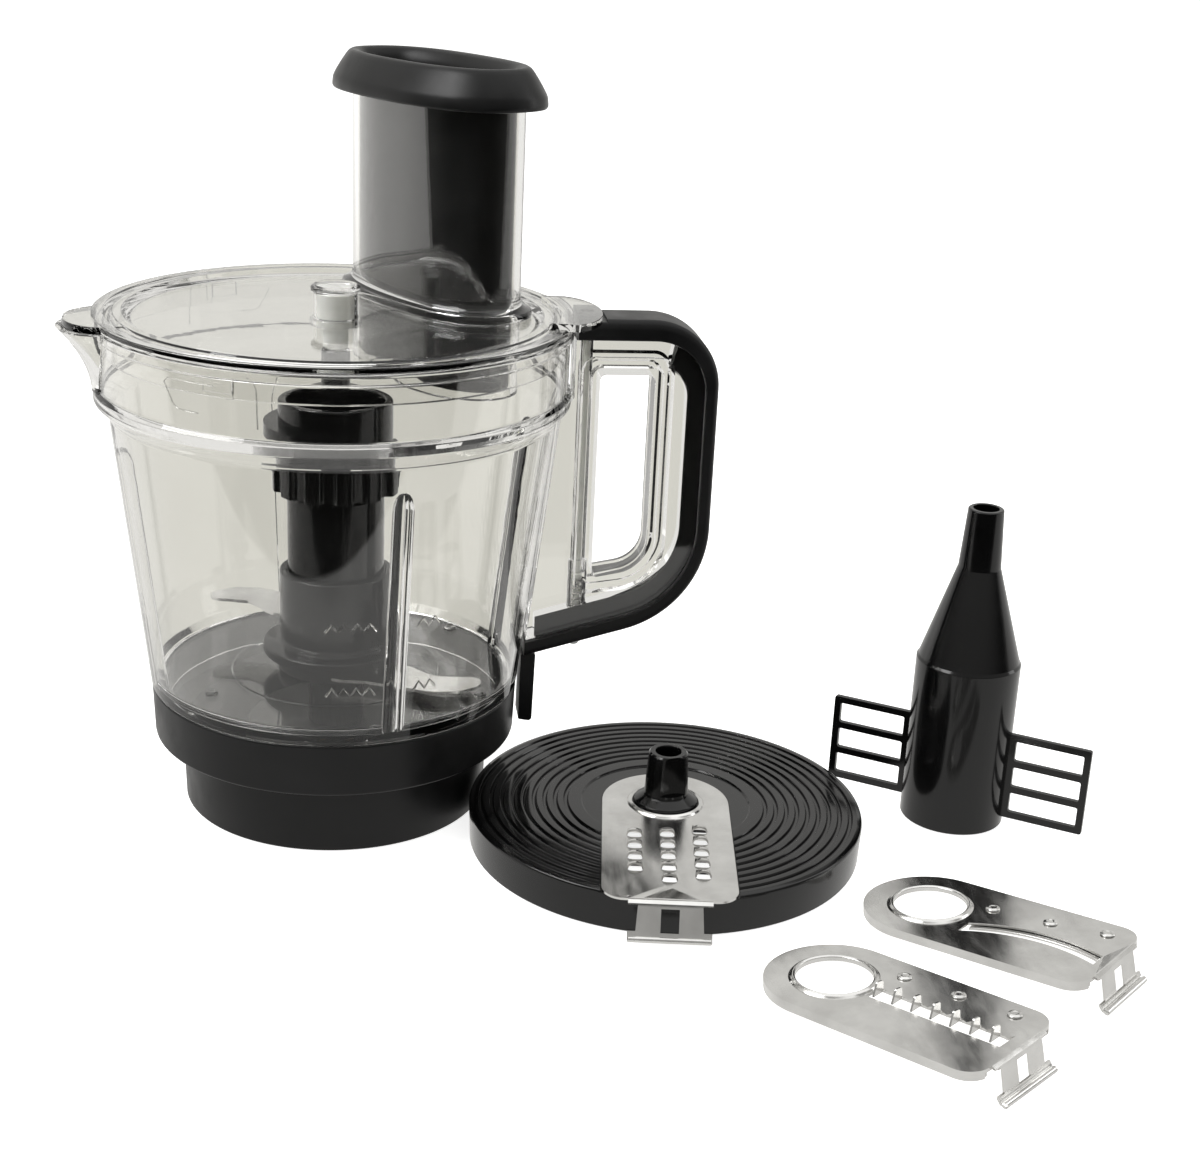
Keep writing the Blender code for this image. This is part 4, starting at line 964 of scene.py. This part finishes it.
def disc_stem():
    profile = [
        (5.0, 15.8), (13.4, 15.8, 0.6), (13.4, 18.6, 0.8), (9.4, 21.4, 1.2), (8.3, 39.7, 0.3),
        (7.6, 40.5, 0.3), (5.6, 40.5, 0.3), (5.0, 38.6),
    ]
    flats = []
    for turn in (0.0, 180.0):
        cutter = prism([(7.3, -20.0), (20.0, -20.0), (20.0, 20.0), (7.3, 20.0)], 23.0, 42.0)
        flats.append(("DIFFERENCE", moved(cutter, turn=turn + 20.0)))
    piece("disc_boss", lathe(profile, SMALL), "black_gloss", "disc", DISC, "disc_stem", tools=flats)


def hole_roll(r, z=0.0, height=1.3, thick=0.9):
    """A rolled double lip round an insert's hole."""
    profile = [
        (r, z - thick), (r, z + height - 0.5, 0.4), (r + 0.9, z + height, 0.4),
        (r + 1.9, z + height - 0.6, 0.5), (r + 2.6, z - 0.05, 0.5), (r + 3.4, z - 0.2),
        (r + 3.4, z - thick),
    ]
    return lathe(profile, 56)


def shredder():
    top = SEAT_Z + 0.3 + 0.9
    spots = []
    for column, (y, count) in enumerate(((13.5, 5), (0.0, 5), (-13.5, 4))):
        start = 25.5 + 3.6 * (column == 1) + 5.0 * (column == 2)
        spots += [(start + 9.6 * i, y) for i in range(count)]
    holes = [circle(14.0, 56)]
    for x, y in spots:
        one_side = [(x - 2.4, y - 2.6, 1.2), (x + 3.0, y - 3.2, 1.4)]
        other_side = [(x + 3.0, y + 3.2, 1.4), (x - 2.4, y + 2.6, 1.2)]
        holes.append(rounded(one_side + other_side, 4))
    plate = prism(insert_outline(26.9, 26.9, INSERT_LENGTH + 5.6), top - 0.9, top, holes)
    tools = [("UNION", moved(insert_tab(6.0, 14.0), 6.2, 0.0, top))]
    tools += insert_tab_tools(6.0, 14.0, 6.2, top)
    plate_piece = piece(
        "shredder_plate", plate, "stainless_steel", "shredder", DISC, "shredding_insert",
        tools=tools, bevel=0.25,
    )
    trim = [moved(hole_roll(13.9), 0.0, 0.0, top)] + [lip_bar(6.0, 14.0, 6.2, top)]
    trim += [moved(scoop(), x, y, top) for x, y in spots]
    piece("shredder_trim", joined(*trim), "stainless_steel", "shredder", DISC, angle=50.0)
    return plate_piece


def scoop():
    """A raised cutting scoop at the back edge of a shredding hole."""
    sections = []
    for k in range(7):
        t = k / 6.0
        x = -4.6 + 5.4 * t
        rise = 2.6 * math.sin(0.5 * math.pi * t)
        half = 3.3 - 0.5 * (1.0 - t)
        ring = []
        for j in range(9):
            a = math.pi * j / 8.0
            ring.append((x, -half * math.cos(a), rise * math.sin(a) - 0.05))
        for j in range(8, -1, -1):
            a = math.pi * j / 8.0
            ring.append((x, -(half - 0.5) * math.cos(a), max(rise - 0.5, 0.0) * math.sin(a) - 0.5))
        sections.append(ring)
    return loft(sections)


def loose_plate(name, node, body, place, slots):
    """An insert with a turned-down rim, which stands on its tab and its round end."""
    half = 26.5
    outline = insert_outline(half, half, INSERT_LENGTH)
    holes = [circle(15.0, 56)] + slots
    inner = insert_outline(half - 0.9, half - 0.9, INSERT_LENGTH - 0.9)
    tools = [
        ("DIFFERENCE", prism(inner, -4.6, -0.9)),
        ("UNION", insert_tab(3.6, 14.2)),
    ]
    tools += insert_tab_tools(3.6, 14.2)
    shape = prism(outline, -3.6, 0.0, holes)
    piece(f"{name}_plate_skin", shape, "stainless_steel", body, place, node, tools=tools, bevel=0.4)
    trim = [hole_roll(14.6), lip_bar(3.6, 14.2)]
    nib = rounded([(-28.5, -2.4, 1.0), (-25.8, -3.4, 0.3), (-25.8, 3.4, 0.3), (-28.5, 2.4, 1.0)])
    trim.append(prism(nib, -3.3, -2.3))
    piece(f"{name}_trim", joined(*trim), "stainless_steel", body, place, angle=50.0)


def rivet_row(name, body, place, spots):
    profile = [
        (0.0, -2.4), (2.0, -2.4, 0.3), (2.0, 0.1), (3.0, 0.1, 0.2), (2.7, 0.7, 0.4),
        (1.6, 1.1, 0.5), (1.0, 0.9, 0.2), (0.0, 0.9),
    ]
    for number, (x, y) in enumerate(spots, 1):
        shape = moved(lathe(profile, 28), x, y)
        node = f"{name}_rivet_{number}"
        piece(f"{name}_rivet_head_{number}", shape, "stainless_steel", body, place, node)


def slicer():
    spots = [(22.0, 11.0), (46.0, 13.0), (68.0, 17.0)]
    holes = [circle(2.1, 20, at) for at in spots]
    slot = arc((52.0, -56.0), 60.0, 122.0, 68.0, 32) + arc((52.0, -64.0), 60.0, 68.0, 122.0, 32)
    loose_plate("slicer", "slicing_plate", "slicer", SLICER, [slot] + holes)
    strip = arc((52.0, -58.5), 60.0, 121.0, 69.0, 32) + [(73.5, 21.5), (18.5, 17.0)]
    shape = prism(strip, -2.2, -1.2, [circle(2.2, 16, at) for at in spots])
    piece("slicer_edge", shape, "stainless_steel", "slicer", SLICER, "slicing_blade", bevel=0.3)
    rivet_row("slicing", "slicer", SLICER, spots)


def julienne():
    spots = [(20.0, 16.5), (43.0, 17.5), (66.0, 18.5)]
    holes = [circle(2.1, 20, at) for at in spots]
    teeth = []
    for i in range(7):
        x = 16.0 + 8.3 * i
        teeth += [(x, 6.0), (x + 6.6, 3.0), (x + 8.1, 6.0)]
    slot = [(16.0, -4.0), (74.0, -4.0), (74.1, 6.0)] + teeth[::-1][1:]
    loose_plate("julienne", "julienne_plate", "julienne", JULIENNE, [slot] + holes)
    rivet_holes = [circle(2.2, 16, at) for at in spots]
    shape = prism([(14.5, 5.0), (75.5, 5.0), (75.5, 22.0), (14.5, 21.0)], -2.2, -1.2, rivet_holes)
    piece("julienne_edge", shape, "stainless_steel", "julienne", JULIENNE, "julienne_blade", bevel=0.3)
    fins = []
    for i in range(7):
        x = 19.0 + 8.3 * i
        outline = rounded([(0.0, -1.0), (6.2, -1.0), (6.0, 3.6, 1.0), (2.4, 4.2, 1.0)])
        fin = upright(outline, 0.8)
        bmesh.ops.rotate(fin, matrix=Matrix.Rotation(math.radians(90.0), 3, "Z"), verts=fin.verts)
        fins.append(moved(fin, x, -2.0))
    piece("julienne_fins", joined(*fins), "stainless_steel", "julienne", JULIENNE, bevel=0.15)
    rivet_row("julienne", "julienne", JULIENNE, spots)


# ---------------------------------------------------------------- whisk tool


def whisk():
    profile = [
        (22.5, 0.2, 0.4), (22.5, 74.4, 0.8), (21.7, 75.6, 0.6), (9.1, 117.0, 2.0),
        (7.6, 142.6, 0.4), (7.0, 143.0, 0.2), (5.6, 143.0, 0.2), (5.4, 142.0), (5.4, 117.0),
        (20.3, 74.0), (20.3, 0.2),
    ]
    piece("whisk_shell", lathe(profile, 96), "black_gloss", "whisk", WHISK, "whisk_body")
    inner = 22.3
    low, high, out, bar = 4.4, 44.0, 58.0, 3.0
    pitch = (high - low - bar) / 3.0
    holes = []
    for row in range(3):
        base = low + bar + pitch * row
        left, right, roof = inner + bar, out - bar, base + pitch - bar
        corners = [(left, base, 0.8), (right, base, 0.8), (right, roof, 0.8), (left, roof, 0.8)]
        holes.append(rounded(corners, 3))
    outline = rounded([(inner, low), (out, low, 1.0), (out, high, 1.0), (inner, high)], 3)
    for side, turn in (("front", 0.0), ("rear", 180.0)):
        shape = moved(upright(outline, 2.4, holes), turn=turn)
        piece(f"whisk_bars_{side}", shape, "black_gloss", "whisk", WHISK, f"whisk_paddle_{side}", bevel=0.5)


# ---------------------------------------------------------------- studio


def carried_over():
    """Better materials for the CAD nodes that stay."""
    finish = {
        "base_plate": "black_satin",
        "gearbox_housing": "black_satin",
        "ring_gear": "natural_plastic",
        "spindle_bush": "brass",
        "shaft_seal": "rubber",
        "sun_gear": "stainless_steel",
        "input_shaft": "stainless_steel",
        "drive_coupling": "black_satin",
        "planet_carrier": "stainless_steel",
        "spindle_shaft": "stainless_steel",
    }
    finish.update({f"base_screw_{n}": "stainless_steel" for n in range(1, 5)})
    finish.update({f"planet_gear_{n}": "natural_plastic" for n in range(1, 4)})
    for name, look in finish.items():
        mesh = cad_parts[name].data
        mesh.materials.clear()
        mesh.materials.append(LOOKS[look])


def area(name, at, towards, size, power, tint=(1.0, 1.0, 1.0)):
    data = bpy.data.lights.new(name, "AREA")
    data.shape = "RECTANGLE"
    data.size, data.size_y = size
    data.energy = power
    data.color = tint
    lamp = bpy.data.objects.new(name, data)
    bpy.context.scene.collection.objects.link(lamp)
    lamp.location = at
    lamp.rotation_euler = (Vector(towards) - Vector(at)).to_track_quat("-Z", "Y").to_euler()


def math_node(tree, operation, first, second):
    """A Math node on two sockets or numbers."""
    made = tree.nodes.new("ShaderNodeMath")
    made.operation = operation
    for socket, value in zip(made.inputs, (first, second)):
        if isinstance(value, float):
            socket.default_value = value
        else:
            tree.links.new(value, socket)
    return made.outputs["Value"]


def ranged(tree, value, start, end, low, high):
    """low at start, high at end, and a smooth step between."""
    made = tree.nodes.new("ShaderNodeMapRange")
    made.interpolation_type = "SMOOTHSTEP"
    for name, number in (("From Min", start), ("From Max", end), ("To Min", low), ("To Max", high)):
        made.inputs[name].default_value = number
    tree.links.new(value, made.inputs["Value"])
    return made.outputs["Result"]


def parted(tree, coordinates):
    place = tree.nodes.new("ShaderNodeTexCoord")
    split = tree.nodes.new("ShaderNodeSeparateXYZ")
    tree.links.new(place.outputs[coordinates], split.inputs["Vector"])
    return split.outputs


def mixed(tree, factor, first, second):
    made = tree.nodes.new("ShaderNodeMixShader")
    tree.links.new(factor, made.inputs[0])
    tree.links.new(first, made.inputs[1])
    tree.links.new(second, made.inputs[2])
    return made.outputs["Shader"]


def glow(tree, kind, colour, strength=1.0):
    made = tree.nodes.new(kind)
    made.inputs["Color"].default_value = (*colour, 1.0)
    if isinstance(strength, float):
        made.inputs["Strength"].default_value = strength
    else:
        tree.links.new(strength, made.inputs["Strength"])
    return made.outputs[0]


BACKDROP = (0.72, 0.71, 0.65)
# The slanted line of the floor's painted reflection, which is near black in front of it and bright behind
# it.
PAINTED_REFLECTION_SKEW = 0.22
PAINTED_REFLECTION_EDGE = -0.238
PAINTED_REFLECTION_EDGE_END = -0.228


def after_glass(tree, kind, direct, reflected):
    """Rays that only went through clear plastic see a cream backdrop, and mirrored rays see reflected, which
    on the floor is a painted reflection.
    """
    path = tree.nodes.new("ShaderNodeLightPath")
    bounces = math_node(tree, "ADD", path.outputs["Glossy Depth"], path.outputs["Transmission Depth"])
    seen = math_node(tree, "GREATER_THAN", bounces, 0.5)
    mirrored = math_node(tree, "GREATER_THAN", path.outputs["Glossy Depth"], 0.5)
    backdrop = glow(tree, kind, BACKDROP)
    return mixed(tree, seen, direct, mixed(tree, mirrored, backdrop, reflected))


def floor():
    bm = bmesh.new()
    bmesh.ops.create_grid(bm, x_segments=1, y_segments=1, size=14.0)
    obj = mesh_object("studio_floor", bm)
    made, tree, shader = blank("studio_floor")
    shader.inputs["Roughness"].default_value = 0.9
    shader.inputs["Specular IOR Level"].default_value = 0.0
    shader.inputs["Emission Color"].default_value = (1.0, 1.0, 0.995, 1.0)
    shader.inputs["Emission Strength"].default_value = 0.82
    cloud = noise(tree, 3.0, 2.0)
    tree.links.new(tones(tree, cloud, (0.86, 0.86, 0.855), (0.88, 0.88, 0.875)), shader.inputs["Base Color"])
    # Painted reflection: mirrored rays see the floor as this emission and not as its own shading. The
    # emission is near black in front of the slanted line and brighter far to the left.
    split = parted(tree, "Object")
    front = math_node(tree, "ADD", split["Y"], math_node(tree, "MULTIPLY", split["X"], PAINTED_REFLECTION_SKEW))
    strength = ranged(tree, front, PAINTED_REFLECTION_EDGE, PAINTED_REFLECTION_EDGE_END, 0.015, 0.85)
    left = ranged(tree, split["X"], -0.9, -0.45, 1.4, 1.0)
    painted_reflection = glow(tree, "ShaderNodeEmission", (1.0, 0.99, 0.965), math_node(tree, "MULTIPLY", strength, left))
    shown = after_glass(tree, "ShaderNodeEmission", shader.outputs["BSDF"], painted_reflection)
    tree.links.new(shown, tree.nodes["Material Output"].inputs["Surface"])
    obj.data.materials.append(made)
    obj.location = (0.0, 0.0, -0.0003)


def surroundings():
    """A world that is white to the camera, and bright behind and dark in front to mirrored rays."""
    world = bpy.data.worlds.new("studio")
    bpy.context.scene.world = world
    world.use_nodes = True
    tree = world.node_tree
    split = parted(tree, "Generated")
    behind = ranged(tree, split["Y"], -0.3, 0.3, 0.04, 0.78)
    height = ranged(tree, split["Z"], 0.45, 0.95, 1.0, 0.35)
    above = ranged(tree, split["Z"], 0.03, 0.22, 0.0, 0.42)
    level_light = math_node(tree, "MAXIMUM", math_node(tree, "MULTIPLY", behind, height), above)
    room = glow(tree, "ShaderNodeBackground", (1.0, 0.99, 0.96), level_light)
    path = tree.nodes.new("ShaderNodeLightPath")
    white = glow(tree, "ShaderNodeBackground", (1.0, 1.0, 1.0))
    fill = glow(tree, "ShaderNodeBackground", (0.5, 0.5, 0.5))
    direct = mixed(tree, path.outputs["Is Camera Ray"], fill, white)
    shown = after_glass(tree, "ShaderNodeBackground", direct, room)
    tree.links.new(shown, tree.nodes["World Output"].inputs["Surface"])


def camera():
    data = bpy.data.cameras.new("camera")
    data.lens = 58.74
    data.sensor_width = 36.0
    obj = bpy.data.objects.new("camera", data)
    bpy.context.scene.collection.objects.link(obj)
    right = Vector((0.99103085, -0.12579865, 0.04508387))
    up = Vector((0.00135819, 0.34683448, 0.93792537))
    turned = Matrix((right, up, right.cross(up))).transposed().to_4x4()
    obj.matrix_world = Matrix.Translation((-0.106, -0.71678, 0.39026)) @ turned
    bpy.context.scene.camera = obj


def studio():
    floor()
    surroundings()
    camera()
    area("key", (-1.1, -0.2, 1.3), (0.0, 0.05, 0.1), (0.9, 0.9), 17.0)
    area("top", (0.1, 0.2, 2.0), (0.0, 0.0, 0.0), (3.2, 2.6), 24.0)
    area("right", (1.4, 0.1, 0.7), (0.0, 0.0, 0.1), (0.35, 1.1), 2.5)
    scene = bpy.context.scene
    scene.view_settings.view_transform = "Standard"
    scene.cycles.max_bounces = 28
    scene.cycles.transmission_bounces = 28
    scene.cycles.glossy_bounces = 8
    scene.cycles.transparent_max_bounces = 28
    scene.cycles.use_denoising = True


housing()
clear_bowl()
collar_tracks()
level_waves()
floor_pips()
strap()
clear_handle()
guide()
push_rod()
hub()
tool_blades()
lid()
socket()
tube()
pusher()
grooved_disc()
disc_stem()
shredder()
slicer()
julienne()
whisk()
carried_over()
studio()
